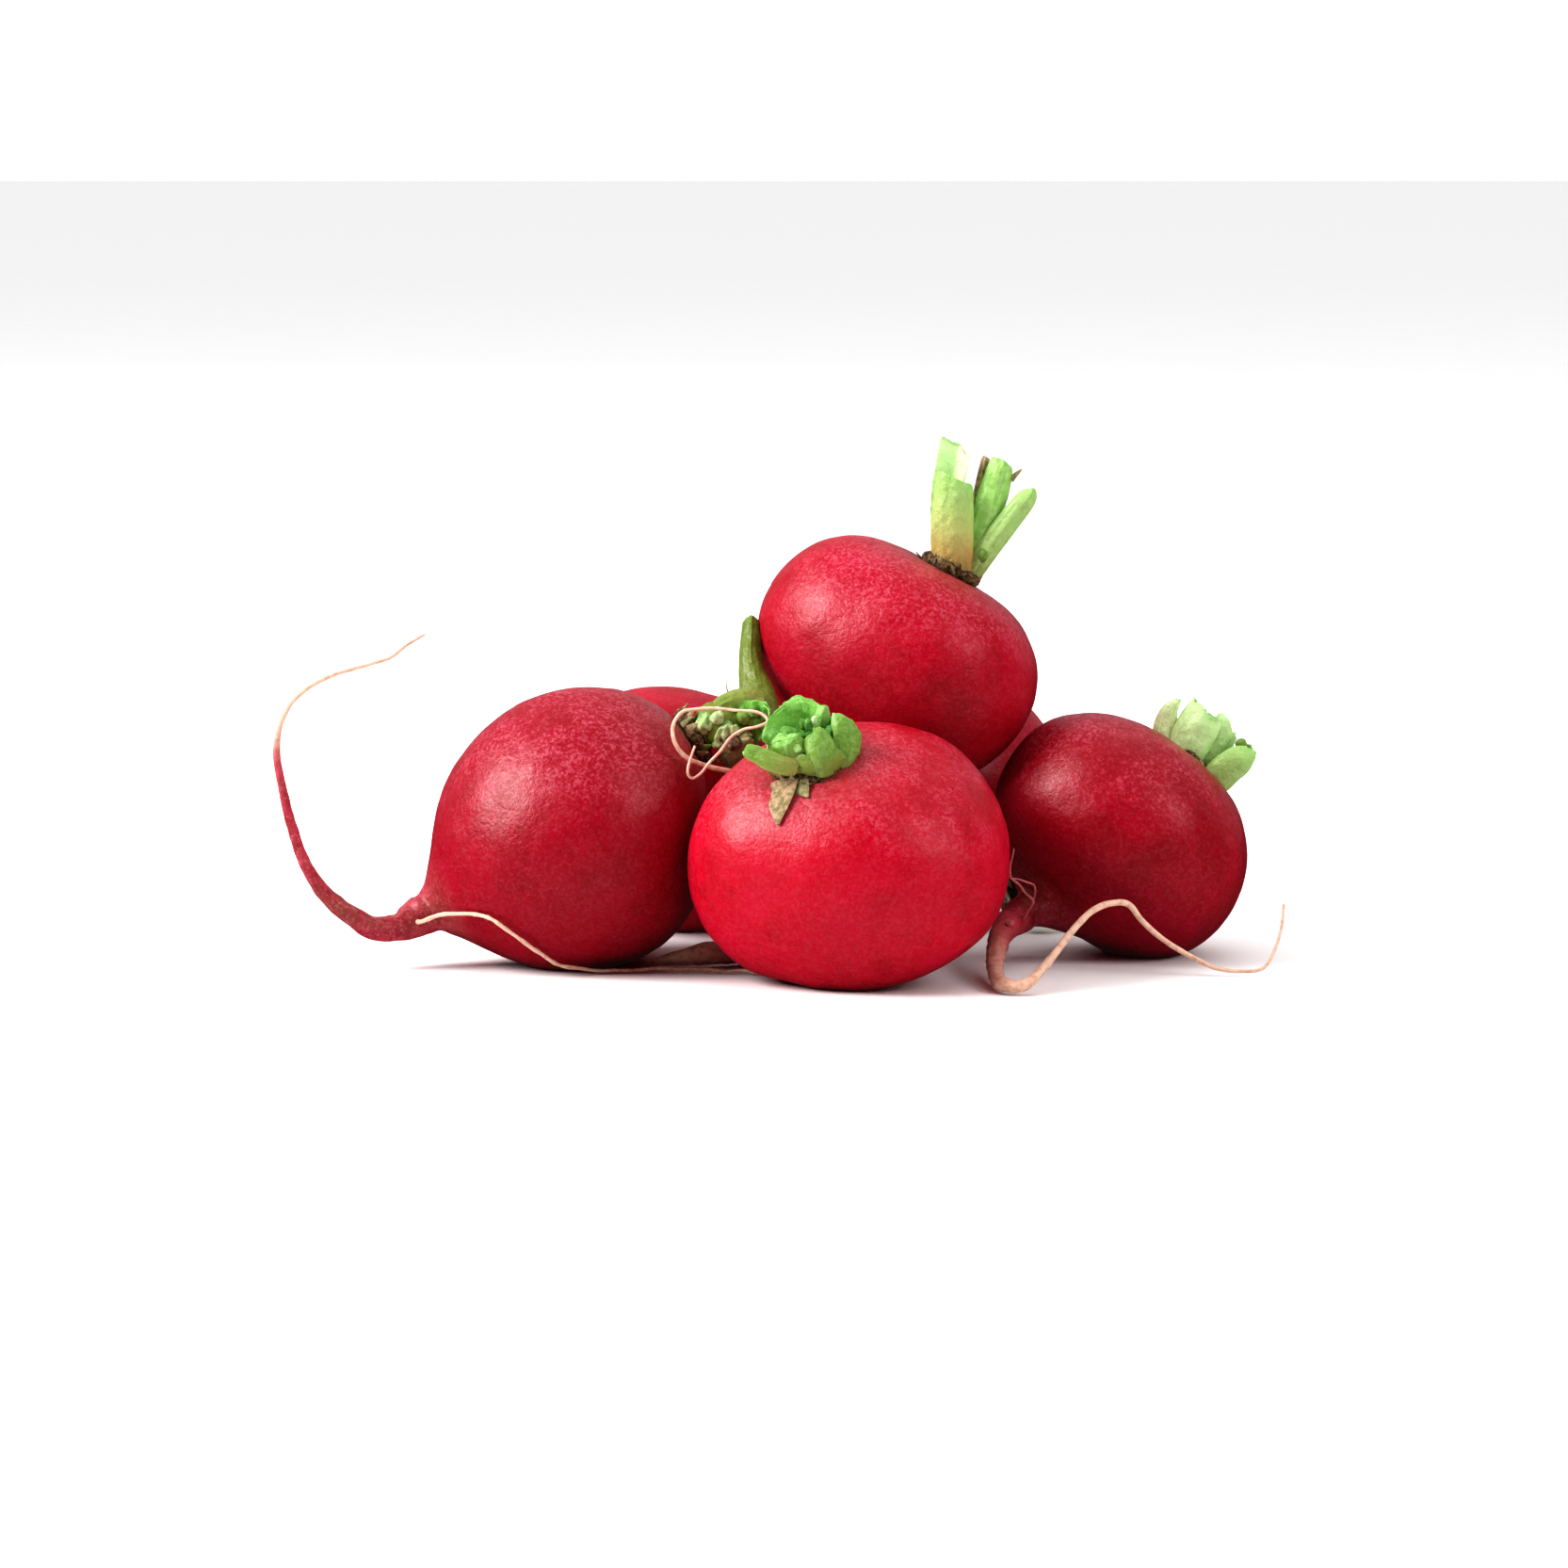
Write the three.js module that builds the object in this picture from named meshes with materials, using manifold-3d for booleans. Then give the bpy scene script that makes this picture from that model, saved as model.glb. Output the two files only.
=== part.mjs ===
// A bunch of six round red radishes with their leaves cut off, heaped as they lie on a table.
// Lengths are millimetres and +Z is up. The bunch is laid out from the middle of the front radish's
// foot, with -Y towards the front, and is then moved so that the origin is under its own middle.

import * as THREE from "three";
import { mergeVertices } from "three/addons/utils/BufferGeometryUtils.js";
import Module from "manifold-3d";

const wasm = await Module();
wasm.setup();

// ---------------------------------------------------------------- driving dimensions

const MIDDLE = [-8.7, 29.7]; // the middle of the bunch, in the layout's X and Y
const GAP = 0.3; // clearance between two separate pieces
const WELD = 0.01; // corners closer than this are one

const DIMPLE = 1.1; // depth of the crown's dimple
const DIMPLE_WIDTH = 0.3; // its width, as a share of the bulb's
const TAPER = 0.22; // share of the root side's height that draws out into the tap root
const WAIST = 1.4; // how much the bulb pulls in before the tap root

const CROWN_HEIGHT = 1.4; // half the thickness of the corky crown disc
const STEM = 0.7; // width of the stem inside the stalks, as a share of the crown's
const HOLLOW = 1.25; // how far a stalk's inner face is scooped, unless it says otherwise
const INSET = 0.7; // how far a stalk's middle stands inside the crown's rim, in thicknesses

const BULB_SIDES = 26;
const BULB_RINGS = 16;
const ROOT_SIDES = 6;
const ROOT_STEP = 2.4;
const STALK_SIDES = 8;
const STALK_RINGS = 4;
const CROWN_SIDES = 14;
const CROWN_RINGS = 4;

const COLOURS = { root: 0xb3122b, crown: 0x6b4a2a, leaf_stalks: 0x86b84a };

// Each radish: centre is the middle of its bulb and axis runs from its root end to its crown.
// across is its two diameters across the axis: level, and from front to back.
// crown and rootEnd are points on its skin, and stalksTo is the way that its leaf stalks grow.
// shoulder and hip square its crown side and its root side where they are under 1.
// taper is how suddenly it draws in at the root end, and lobe makes it slightly three-sided.
// Roots are the points that they run through, each with the root's thickness there.
// crownRise is how far the middle of the corky crown stands above that point on the skin.
// A stalk stands at a turn round the crown from the front, leans out and bows out further. It is
// foot wide below and tip wide above, slant lifts one edge of its cut end, hollow is how far its
// inner face is scooped, in half thicknesses, and branch is how far up the others it leaves them.
const RADISHES = [
  {
    name: "front",
    centre: [1.2, -1.5, 15.9],
    axis: [-0.19, -0.47, 0.85],
    across: [42.7, 38.5],
    crown: [-5.2, -8.2, 29.6],
    stalksTo: [-0.06, -0.38, 0.92],
    rootEnd: [6, 11.5, 3.4],
    shoulder: 0.9,
    hip: 0.66,
    taper: 6,
    lobe: [0.05, 279],
    roots: [
      [
        [6, 11.5, 3.4, 4.6],
        [9, 15.5, 2.6, 4.2],
        [7, 19.5, 2.2, 3.9],
        [0, 20.5, 2.1, 3.7],
        [-8, 17, 2, 3.5],
        [-14, 12.5, 1.9, 3.3],
        [-19, 10.4, 1.8, 3.1],
        [-23.3, 10, 1.2, 1.9],
        [-26.8, 10, 0.6, 0.6],
      ],
    ],
    crownWidth: 9.5,
    crownRise: 0.2,
    stalks: [
      { turn: 180, lean: 4, length: 6.6, foot: 8, tip: 8.6, thick: 2.4 },
      { turn: 84, lean: 22, length: 7.6, foot: 6.5, tip: 3.4, thick: 3.2, slant: -1 },
      { turn: 30, lean: 8, length: 6, foot: 6.5, tip: 6, thick: 3.6, hollow: 0.5 },
      { turn: -48, lean: 12, length: 5.6, foot: 6.2, tip: 5.8, thick: 3.4 },
      { turn: -85, lean: 60, length: 6.6, foot: 5, tip: 3.6, thick: 3, hollow: 0.5 },
    ],
  },
  {
    name: "left",
    centre: [-35.3, 14.1, 17.9],
    axis: [0.86, 0.12, 0.46],
    across: [38.2, 37],
    crown: [-21.2, 16.3, 30],
    stalksTo: [0.8, 0.05, 0.55],
    rootEnd: [-57.5, 11.5, 6.9],
    shoulder: 1.28,
    hip: 1.17,
    taper: 2.5,
    lobe: [0.03, 319],
    roots: [
      [
        [-57.5, 11.5, 6.9, 5.6],
        [-60.6, 9.8, 5.5, 3.8],
        [-63.7, 8.5, 5.6, 3.2],
        [-66.8, 7.5, 7.6, 3],
        [-69.9, 6.5, 10.4, 2.7],
        [-72.3, 5.5, 14.3, 2],
        [-74.1, 5, 19.5, 1.5],
        [-75.3, 5, 24.5, 1.25],
        [-76.1, 5, 29.6, 1],
        [-75.6, 5, 33.4, 0.8],
        [-74, 5.5, 36.5, 0.7],
        [-71.5, 6.5, 38.5, 0.6],
        [-68.4, 8, 39.9, 0.55],
        [-64.2, 10, 41, 0.5],
        [-61.2, 11.5, 41.9, 0.5],
        [-59.2, 12.5, 43.4, 0.45],
        [-56.9, 14, 44.7, 0.4],
      ],
      [
        [-58.6, 11, 6.3, 1.1],
        [-57.6, 8.6, 6.5, 0.9],
        [-56.4, 6.6, 7.1, 0.8],
        [-53.6, 4.5, 7.9, 0.7],
        [-50.3, 2.6, 8.1, 0.7],
        [-47.4, 0.4, 8.2, 0.7],
        [-44.5, -0.4, 6.5, 0.7],
        [-41.4, 0.9, 3.7, 0.7],
        [-37.7, 2.7, 1.5, 0.7],
        [-32, 4.5, 0.45, 0.6],
        [-25.1, 5.2, 0.45, 0.6],
        [-17.6, 4.6, 0.45, 0.5],
        [-11, 2.6, 0.45, 0.5],
      ],
    ],
    crownWidth: 8.5,
    crownRise: 0.6,
    stalks: [
      { turn: -172, lean: 4, length: 9.5, foot: 6.5, tip: 5.4, thick: 2.4 },
      { turn: -147, lean: 58, length: 14.6, foot: 4.2, tip: 3, thick: 2.4, branch: 7.8 },
      { turn: 130, lean: 26, length: 8, foot: 4.6, tip: 4, thick: 2.6 },
      { turn: 50, lean: 20, length: 6, foot: 5, tip: 4, thick: 2.8 },
      { turn: 95, lean: 40, length: 6, foot: 4, tip: 3.4, thick: 2.6, hollow: 0.5 },
      { turn: -75, lean: 16, length: 5, foot: 5.5, tip: 4.5, thick: 2.8 },
    ],
  },
  {
    name: "right",
    centre: [38.1, 24, 16.5],
    axis: [0.64, 0.3, 0.63],
    across: [37.4, 36],
    crown: [47.2, 31.5, 24.2],
    stalksTo: [0.5, 0.22, 0.83],
    rootEnd: [24, 17, 6.4],
    shoulder: 0.94,
    hip: 0.73,
    taper: 6,
    lobe: [0.01, 258],
    roots: [
      [
        [24, 17, 6.4, 5],
        [21.3, 11, 5.1, 3.5],
        [19.9, 3, 3.2, 2.8],
        [19.5, -6, 1.7, 2.4],
        [20.2, -13, 1.2, 2],
        [22.6, -15, 1.2, 1.6],
        [25.2, -12, 2.8, 1.2],
        [27.8, -8, 5.3, 1],
        [29.9, -4, 7.2, 0.95],
        [32.6, 0, 9.1, 0.9],
        [35.3, 3, 9.7, 0.9],
        [37.6, 4, 9.4, 0.85],
        [39.4, 4, 7.2, 0.8],
        [42.4, 3.6, 4.6, 0.75],
        [45.6, 3, 2.7, 0.7],
        [49.3, 2.5, 1, 0.6],
        [53, 3, 0.5, 0.5],
        [55.7, 4.5, 0.7, 0.45],
        [57.4, 7, 2.7, 0.4],
        [58.5, 9, 5.5, 0.4],
        [59, 11, 8.4, 0.4],
      ],
    ],
    crownWidth: 10.5,
    crownRise: 0.4,
    stalks: [
      { turn: -95, lean: 11, length: 8, foot: 4, tip: 3.2, thick: 2.2, slant: 0.8 },
      { turn: -20, lean: 4, length: 8.8, foot: 7, tip: 8, thick: 2.8 },
      { turn: 92, lean: 22, length: 9.2, foot: 5, tip: 4.4, thick: 4, hollow: 0 },
      { turn: 165, lean: 10, length: 8.5, foot: 6, tip: 5.5, thick: 2.8 },
    ],
  },
  {
    name: "top",
    centre: [8.5, 29.9, 40.3],
    axis: [0.55, 0.03, 1],
    across: [39.9, 38],
    crown: [13.9, 29.9, 51.4],
    stalksTo: [0.1, 0, 1],
    rootEnd: [-3, 27.5, 22.2],
    shoulder: 0.73,
    hip: 0.8,
    taper: 6,
    lobe: [0.06, 275],
    roots: [
      [
        [-3, 27.5, 22.2, 3],
        [-6.5, 24, 21.3, 1.6],
        [-10.5, 18.5, 23, 1.2],
        [-13.5, 13.5, 25.3, 1],
        [-16.1, 10, 26.7, 0.9],
        [-17.8, 8.5, 27.2, 0.85],
        [-19.6, 6.5, 28, 0.8],
        [-21.1, 5, 28.8, 0.8],
        [-22.2, 4.5, 29.8, 0.75],
        [-23, 4, 31.2, 0.7],
        [-23.3, 4.5, 32.9, 0.65],
        [-22.9, 5, 34.1, 0.6],
        [-21.9, 5, 35.2, 0.6],
        [-20.3, 5, 35.5, 0.55],
        [-17.8, 4.5, 35.7, 0.55],
        [-14.9, 3.5, 35.5, 0.5],
        [-12.1, 2.5, 35.4, 0.5],
        [-11, 2, 34.9, 0.5],
        [-10.6, 1.5, 34.2, 0.5],
        [-12.1, 1.5, 33.5, 0.5],
        [-13.8, 2, 33.1, 0.5],
        [-15.5, 2.5, 32, 0.5],
        [-16.9, 3, 30.1, 0.5],
        [-18.4, 3.3, 28.5, 0.5],
        [-19.5, 3.4, 27.1, 0.45],
        [-20.7, 3.4, 26.4, 0.45],
        [-21.2, 3.2, 26.9, 0.45],
        [-21.2, 3.2, 27.9, 0.45],
        [-20.8, 3.6, 29.3, 0.4],
        [-20.3, 4, 30.7, 0.4],
      ],
    ],
    crownWidth: 8.4,
    crownRise: 1.2,
    stalks: [
      { turn: -12, lean: 4, length: 11.6, foot: 6, tip: 6, thick: 2.4, slant: -0.8 },
      { turn: -170, lean: 3, length: 17, foot: 5, tip: 4.8, thick: 2.4, slant: -1 },
      { turn: 165, lean: 12, length: 15.8, foot: 2.6, tip: 2.2, thick: 1.6 },
      { turn: 118, lean: 15, length: 16.4, foot: 3.8, tip: 4.2, thick: 2.4, slant: -0.6 },
      { turn: 80, lean: 34, length: 14.2, foot: 3, tip: 2.4, thick: 3, hollow: 0.3 },
    ],
  },
  {
    name: "rear_left",
    centre: [-23.1, 48, 16.2],
    axis: [-0.3, 0.82, 0.2],
    across: [30.5, 39.2],
    crown: [-28, 64, 18.5],
    stalksTo: [-0.3, 0.95, 0.05],
    rootEnd: [-17, 33, 12],
    shoulder: 0.85,
    hip: 0.85,
    taper: 6,
    lobe: [0.012, 0],
    roots: [
      [
        [-17, 33, 12, 3.2],
        [-14.5, 30.5, 10.5, 2.2],
        [-12, 28, 7, 1.6],
        [-12, 26, 3, 1.2],
        [-14.5, 23, 1, 0.8],
        [-18.5, 23, 0.6, 0.5],
      ],
    ],
    crownWidth: 8,
    crownRise: 0.6,
    stalks: [
      { turn: 0, lean: 14, length: 10, foot: 5.5, tip: 4.5, thick: 2.8 },
      { turn: 75, lean: 18, length: 13, foot: 5, tip: 4, thick: 2.6, bow: 0.5 },
      { turn: 150, lean: 20, length: 11, foot: 5.5, tip: 4.5, thick: 2.8, bow: 0.5 },
      { turn: -135, lean: 16, length: 14, foot: 5, tip: 4, thick: 2.6, bow: 0.5 },
      { turn: -65, lean: 16, length: 9, foot: 5, tip: 4, thick: 2.6 },
    ],
  },
  {
    name: "rear_right",
    centre: [13.5, 60.9, 17.8],
    axis: [0.55, -0.6, -0.5],
    across: [36.4, 36.4],
    crown: [22.4, 50.6, 9.2],
    stalksTo: [0.5, -0.8, -0.3],
    rootEnd: [3, 72.5, 28],
    shoulder: 0.85,
    hip: 0.85,
    taper: 6,
    lobe: [0.012, 60],
    roots: [
      [
        [3, 72.5, 28, 4],
        [0.5, 75.5, 29.5, 2.8],
        [-3.5, 78, 28.5, 2.2],
        [-7, 79, 23.5, 1.6],
        [-8.5, 78.5, 16, 1.3],
        [-8, 77, 8, 1.1],
        [-4.5, 76, 2.4, 0.9],
        [2, 76.5, 0.8, 0.7],
        [9, 78, 0.6, 0.5],
      ],
    ],
    crownWidth: 8,
    crownRise: 0.6,
    stalks: [
      { turn: 0, lean: 14, length: 8.5, foot: 5, tip: 4, thick: 2.8 },
      { turn: 75, lean: 16, length: 9, foot: 5, tip: 4, thick: 2.6 },
      { turn: 150, lean: 12, length: 10, foot: 5, tip: 4, thick: 2.8 },
      { turn: -135, lean: 12, length: 9, foot: 5, tip: 4, thick: 2.6 },
      { turn: -65, lean: 16, length: 8, foot: 5, tip: 4, thick: 2.6 },
    ],
  },
];

// ---------------------------------------------------------------- small tools

const vec = ([x, y, z]) => new THREE.Vector3(x, y, z);
const rad = THREE.MathUtils.degToRad;
const mix = THREE.MathUtils.lerp;
const turnOf = (i, sides) => (2 * Math.PI * i) / sides;

// An axis with two directions across it: front leans towards -Y, and side is to its right.
function frameAlong(direction) {
  const axis = vec(direction).normalize();
  const front = new THREE.Vector3(0, -1, 0).projectOnPlane(axis).normalize();
  const side = axis.clone().cross(front);
  return { axis, front, side };
}

// A ring of points round a middle, where reach gives the two distances at a turn.
function ringOf(middle, front, side, sides, reach) {
  return Array.from({ length: sides }, (_, i) => {
    const turn = turnOf(i, sides);
    const [forward, sideways] = reach(turn);
    return middle
      .clone()
      .addScaledVector(front, forward * Math.cos(turn))
      .addScaledVector(side, sideways * Math.sin(turn));
  });
}

// A closed surface over rings of points that all hold the same number, with a point at each end.
function loft(rings, start, end) {
  const sides = rings[0].length;
  const points = [start, ...rings.flat(), end];
  const last = points.length - 1;
  const at = (ring, side) => 1 + ring * sides + (side % sides);
  const index = [];
  for (let s = 0; s < sides; s++) {
    index.push(0, at(0, s), at(0, s + 1));
    for (let r = 0; r + 1 < rings.length; r++) {
      index.push(at(r, s), at(r + 1, s), at(r + 1, s + 1));
      index.push(at(r, s), at(r + 1, s + 1), at(r, s + 1));
    }
    index.push(last, at(rings.length - 1, s + 1), at(rings.length - 1, s));
  }
  return new THREE.BufferGeometry().setFromPoints(points).setIndex(index);
}

// A closed geometry as a solid, turned to face outwards.
function solid(geometry) {
  const bare = new THREE.BufferGeometry();
  bare.setAttribute("position", geometry.getAttribute("position"));
  bare.setIndex(geometry.index);
  const merged = mergeVertices(bare, 1e-4);
  const vertProperties = merged.attributes.position.array;
  const triVerts = new Uint32Array(merged.index.array);
  const make = () => new wasm.Manifold(new wasm.Mesh({ numProp: 3, vertProperties, triVerts }));
  const made = make();
  if (made.volume() > 0) return made;
  for (let i = 0; i < triVerts.length; i += 3) {
    [triVerts[i + 1], triVerts[i + 2]] = [triVerts[i + 2], triVerts[i + 1]];
  }
  return make();
}

// A solid's largest body, without the loose scraps that a cut can leave.
function wholeBody(made) {
  return made.decompose().sort((a, b) => b.volume() - a.volume())[0];
}

// A solid's surface, with corners closer than WELD joined and the slivers between them left out.
function surfaceOf(made) {
  const { numProp, numVert, vertProperties, triVerts } = made.getMesh();
  const positions = new Float32Array(numVert * 3);
  for (let i = 0; i < numVert; i++) {
    positions.set(vertProperties.subarray(i * numProp, i * numProp + 3), i * 3);
  }
  const geometry = new THREE.BufferGeometry();
  geometry.setAttribute("position", new THREE.BufferAttribute(positions, 3));
  geometry.setIndex(new THREE.BufferAttribute(triVerts, 1));
  const welded = mergeVertices(geometry, WELD);
  const corners = welded.index.array;
  const kept = new Map(); // by its three corners, so that two faces back to back cancel out
  for (let i = 0; i < corners.length; i += 3) {
    const face = [...corners.slice(i, i + 3)];
    if (new Set(face).size < 3) continue;
    const key = face.toSorted((a, b) => a - b).join();
    if (!kept.delete(key)) kept.set(key, face);
  }
  return welded.setIndex([...kept.values()].flat());
}

function meshOf(name, made, colour) {
  const geometry = surfaceOf(made);
  geometry.computeVertexNormals();
  const material = new THREE.MeshStandardMaterial({ color: colour, roughness: 0.5, metalness: 0 });
  const mesh = new THREE.Mesh(geometry, material);
  mesh.name = name;
  return mesh;
}

// ---------------------------------------------------------------- bulb and roots

// The bulb's outline at an angle from its crown, 0, to its root end, PI: how far out it is as a
// share of the half width, how far along the axis, and how far it slides towards that end.
function outline({ shoulder, hip, taper }, angle) {
  if (angle < Math.PI / 2) {
    const along = Math.cos(angle);
    return { out: Math.sin(angle) ** shoulder, along, slide: along ** 2 };
  }
  const down = angle / (Math.PI / 2) - 1;
  const out = Math.cos((down * Math.PI) / 2) ** (hip + WAIST * down ** 4);
  const along = (1 - TAPER) * Math.sin((down * Math.PI) / 2) + TAPER * down ** taper;
  return { out, along: -along, slide: down ** 4 };
}

// The bulb, grown all round by an allowance. Its rings are ovals across the axis, and their
// middles slide from the crown through the centre to the root end.
function bulb(radish, grow = 0) {
  const { axis, front, side } = frameAlong(radish.axis);
  const centre = vec(radish.centre);
  const toCrown = vec(radish.crown).sub(centre);
  const toRoot = vec(radish.rootEnd).sub(centre);
  const crownHeight = toCrown.dot(axis) + grow;
  const rootHeight = -toRoot.dot(axis);
  const crownSlide = toCrown.projectOnPlane(axis);
  const rootSlide = toRoot.projectOnPlane(axis);
  const neck = radish.roots[0][0][3] / 2;
  const [level, deep] = radish.across.map((width) => width / 2 + grow);
  const [lobe, lobeTurn] = radish.lobe;

  const rings = [];
  for (let i = 1; i <= BULB_RINGS; i++) {
    const { out, along, slide } = outline(radish, (Math.PI * i) / BULB_RINGS);
    const onCrownSide = along > 0;
    const dip = DIMPLE * Math.exp(-((out / DIMPLE_WIDTH) ** 2));
    const height = onCrownSide ? (crownHeight + DIMPLE) * along - dip : rootHeight * along;
    const middle = centre
      .clone()
      .addScaledVector(axis, height)
      .addScaledVector(onCrownSide ? crownSlide : rootSlide, slide);
    const least = onCrownSide ? 0 : neck;
    const ring = ringOf(middle, front, side, BULB_SIDES, (turn) => {
      const share = out * (1 + lobe * Math.cos(3 * turn + rad(lobeTurn)));
      return [mix(least, deep, share), mix(least, level, share)];
    });
    rings.push(ring);
  }
  const top = centre.clone().add(crownSlide).addScaledVector(axis, crownHeight);
  return solid(loft(rings, top, vec(radish.rootEnd)));
}

// A root along its points, each [x, y, z, thickness], closed at both ends.
function root(points) {
  const curve = new THREE.CatmullRomCurve3(points.map(vec), false, "centripetal");
  const steps = Math.ceil(curve.getLength() / ROOT_STEP);
  const { normals, binormals } = curve.computeFrenetFrames(steps);
  const rings = [];
  for (let i = 0; i <= steps; i++) {
    const place = curve.getUtoTmapping(i / steps) * (points.length - 1);
    const before = Math.min(Math.floor(place), points.length - 2);
    const radius = mix(points[before][3], points[before + 1][3], place - before) / 2;
    const middle = curve.getPointAt(i / steps);
    rings.push(ringOf(middle, normals[i], binormals[i], ROOT_SIDES, () => [radius, radius]));
  }
  return solid(loft(rings, vec(points[0]), vec(points[points.length - 1])));
}

const table = solid(new THREE.BoxGeometry(400, 400, 40).translate(0, 0, -20));

// The whole root: bulb, tap root and rootlets grown together, flat where it rests on the table.
function wholeRoot(radish) {
  const { axis } = frameAlong(radish.axis);
  const [tapRoot, ...rootlets] = radish.roots;
  const inside = vec(tapRoot[0]).addScaledVector(axis, 3).toArray();
  const all = [[...inside, tapRoot[0][3]], ...tapRoot];
  const grown = [all, ...rootlets].reduce((made, one) => made.add(root(one)), bulb(radish));
  return wholeBody(grown.subtract(table));
}

// ---------------------------------------------------------------- crown and leaf stalks

function crownMiddle(radish) {
  return vec(radish.crown).addScaledVector(vec(radish.axis).normalize(), radish.crownRise);
}

// A low round disc with a ragged rim at the crown, grown by an allowance.
function crownDisc(radish, grow = 0, share = 1) {
  const { axis, front, side } = frameAlong(radish.axis);
  const middle = crownMiddle(radish);
  const height = CROWN_HEIGHT + grow;
  const width = (radish.crownWidth / 2) * share + grow;
  const at = (up) => middle.clone().addScaledVector(axis, up);
  const rings = [];
  for (let i = 1; i < CROWN_RINGS; i++) {
    const angle = (Math.PI * i) / CROWN_RINGS;
    const ring = ringOf(at(height * Math.cos(angle)), front, side, CROWN_SIDES, (turn) => {
      const ragged = 1 + 0.06 * Math.cos(3 * turn) + 0.05 * Math.cos(5 * turn + 1);
      const reach = width * Math.sqrt(Math.sin(angle)) * ragged;
      return [reach, reach];
    });
    rings.push(ring);
  }
  return solid(loft(rings, at(height), at(-height)));
}

// A cut leaf stalk: round outside and scooped inside, with its foot in the stem.
function stalk(radish, shape) {
  const { turn, lean, length, foot, tip, thick } = shape;
  const { bow = 0, slant = 0, branch = 0, hollow = HOLLOW } = shape;
  const outwardIn = ({ front, side }) =>
    front.multiplyScalar(Math.cos(rad(turn))).addScaledVector(side, Math.sin(rad(turn)));
  const grain = frameAlong(radish.stalksTo);
  const { axis } = grain;
  const outward = outwardIn(grain);
  const start = crownMiddle(radish)
    .addScaledVector(outwardIn(frameAlong(radish.axis)), radish.crownWidth / 2 - INSET * thick)
    .addScaledVector(axis, branch);
  const across = axis.clone().cross(outward);
  const along = axis.clone().multiplyScalar(Math.cos(rad(lean)));
  along.addScaledVector(outward, Math.sin(rad(lean)));
  const out = across.clone().cross(along);

  const rings = [];
  for (let i = 0; i < STALK_RINGS; i++) {
    const t = i / (STALK_RINGS - 1);
    const middle = start.clone().addScaledVector(along, length * t).addScaledVector(out, bow * t * t);
    const halfWidth = mix(foot, tip, t) / 2;
    const ring = Array.from({ length: STALK_SIDES }, (_, j) => {
      const a = turnOf(j, STALK_SIDES);
      const scoop = Math.sin(a) < 0 ? 1 - hollow * Math.sin(a) ** 2 : 1;
      return middle
        .clone()
        .addScaledVector(across, halfWidth * Math.cos(a))
        .addScaledVector(out, (thick / 2) * Math.sin(a) * scoop)
        .addScaledVector(outward, -((halfWidth * Math.cos(a)) ** 2) / radish.crownWidth)
        .addScaledVector(along, slant * Math.cos(a) * t * t);
    });
    rings.push(ring);
  }
  // Between its back and its scooped face, from where an end's whole outline is in sight.
  const heart = (ring) => ring[STALK_SIDES / 4].clone().lerp(ring[(3 * STALK_SIDES) / 4], 0.5);
  return solid(loft(rings, heart(rings[0]), heart(rings[STALK_RINGS - 1])));
}

// The stalks of one crown, grown together at their feet round a short stem.
function leafStalks(radish) {
  const stem = crownDisc(radish, 1, STEM);
  const grown = radish.stalks.reduce((made, one) => made.add(stalk(radish, one)), stem);
  return wholeBody(grown.subtract(bulb(radish, GAP)).subtract(crownDisc(radish, GAP)));
}

function crown(radish) {
  return wholeBody(crownDisc(radish).subtract(bulb(radish, GAP)));
}

// ---------------------------------------------------------------- the bunch

const bunch = new THREE.Group();
bunch.position.set(-MIDDLE[0], -MIDDLE[1], 0);
for (const radish of RADISHES) {
  bunch.add(meshOf(`${radish.name}_root`, wholeRoot(radish), COLOURS.root));
  bunch.add(meshOf(`${radish.name}_crown`, crown(radish), COLOURS.crown));
  bunch.add(meshOf(`${radish.name}_leaf_stalks`, leafStalks(radish), COLOURS.leaf_stalks));
}

export default bunch;
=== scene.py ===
"""The looks of a bunch of six red radishes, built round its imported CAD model.

Shapes are worked out in the layout's millimetres, with +Z up and -Y towards the front, and are moved
to the part's own frame, in metres, when their meshes are made.
"""

import math

import bpy
import numpy as np
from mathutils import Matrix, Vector


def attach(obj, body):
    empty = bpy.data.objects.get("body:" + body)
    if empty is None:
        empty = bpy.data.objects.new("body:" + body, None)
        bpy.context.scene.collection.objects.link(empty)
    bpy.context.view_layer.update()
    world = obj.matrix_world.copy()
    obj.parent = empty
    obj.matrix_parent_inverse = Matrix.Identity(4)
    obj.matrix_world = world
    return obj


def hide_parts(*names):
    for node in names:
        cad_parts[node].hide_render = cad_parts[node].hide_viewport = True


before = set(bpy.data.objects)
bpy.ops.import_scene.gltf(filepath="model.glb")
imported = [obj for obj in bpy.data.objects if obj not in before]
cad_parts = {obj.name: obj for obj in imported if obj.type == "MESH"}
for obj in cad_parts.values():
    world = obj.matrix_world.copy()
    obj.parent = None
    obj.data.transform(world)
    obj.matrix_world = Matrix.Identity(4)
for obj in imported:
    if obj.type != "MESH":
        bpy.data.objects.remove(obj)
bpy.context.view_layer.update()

# ---------------------------------------------------------------- driving dimensions

MIDDLE = np.array([-8.7, 29.7, 0.0])  # the middle of the bunch, in the layout

DIMPLE = 1.1  # depth of the crown's dimple
DIMPLE_WIDTH = 0.3  # its width, as a share of the bulb's
TAPER = 0.22  # share of the root side's height that draws out into the tap root
WAIST = 1.4  # how much the bulb pulls in before the tap root
BEND_START = 0.86  # how far down the bulb its rings start to turn towards the tap root
SWELLINGS = ((0.17, 19), (0.06, 8), (0.018, 3))  # heights and sizes of the bulb's uneven places
PLEAT = 0.16  # height of the pleats round the crown
PLEAT_REACH = 7.5  # how far from the crown they fade
KINK = 0.12  # how far a thin root strays from its path
HAIR_LENGTH = 30  # a thin root that is longer than this is a pale thread

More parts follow.
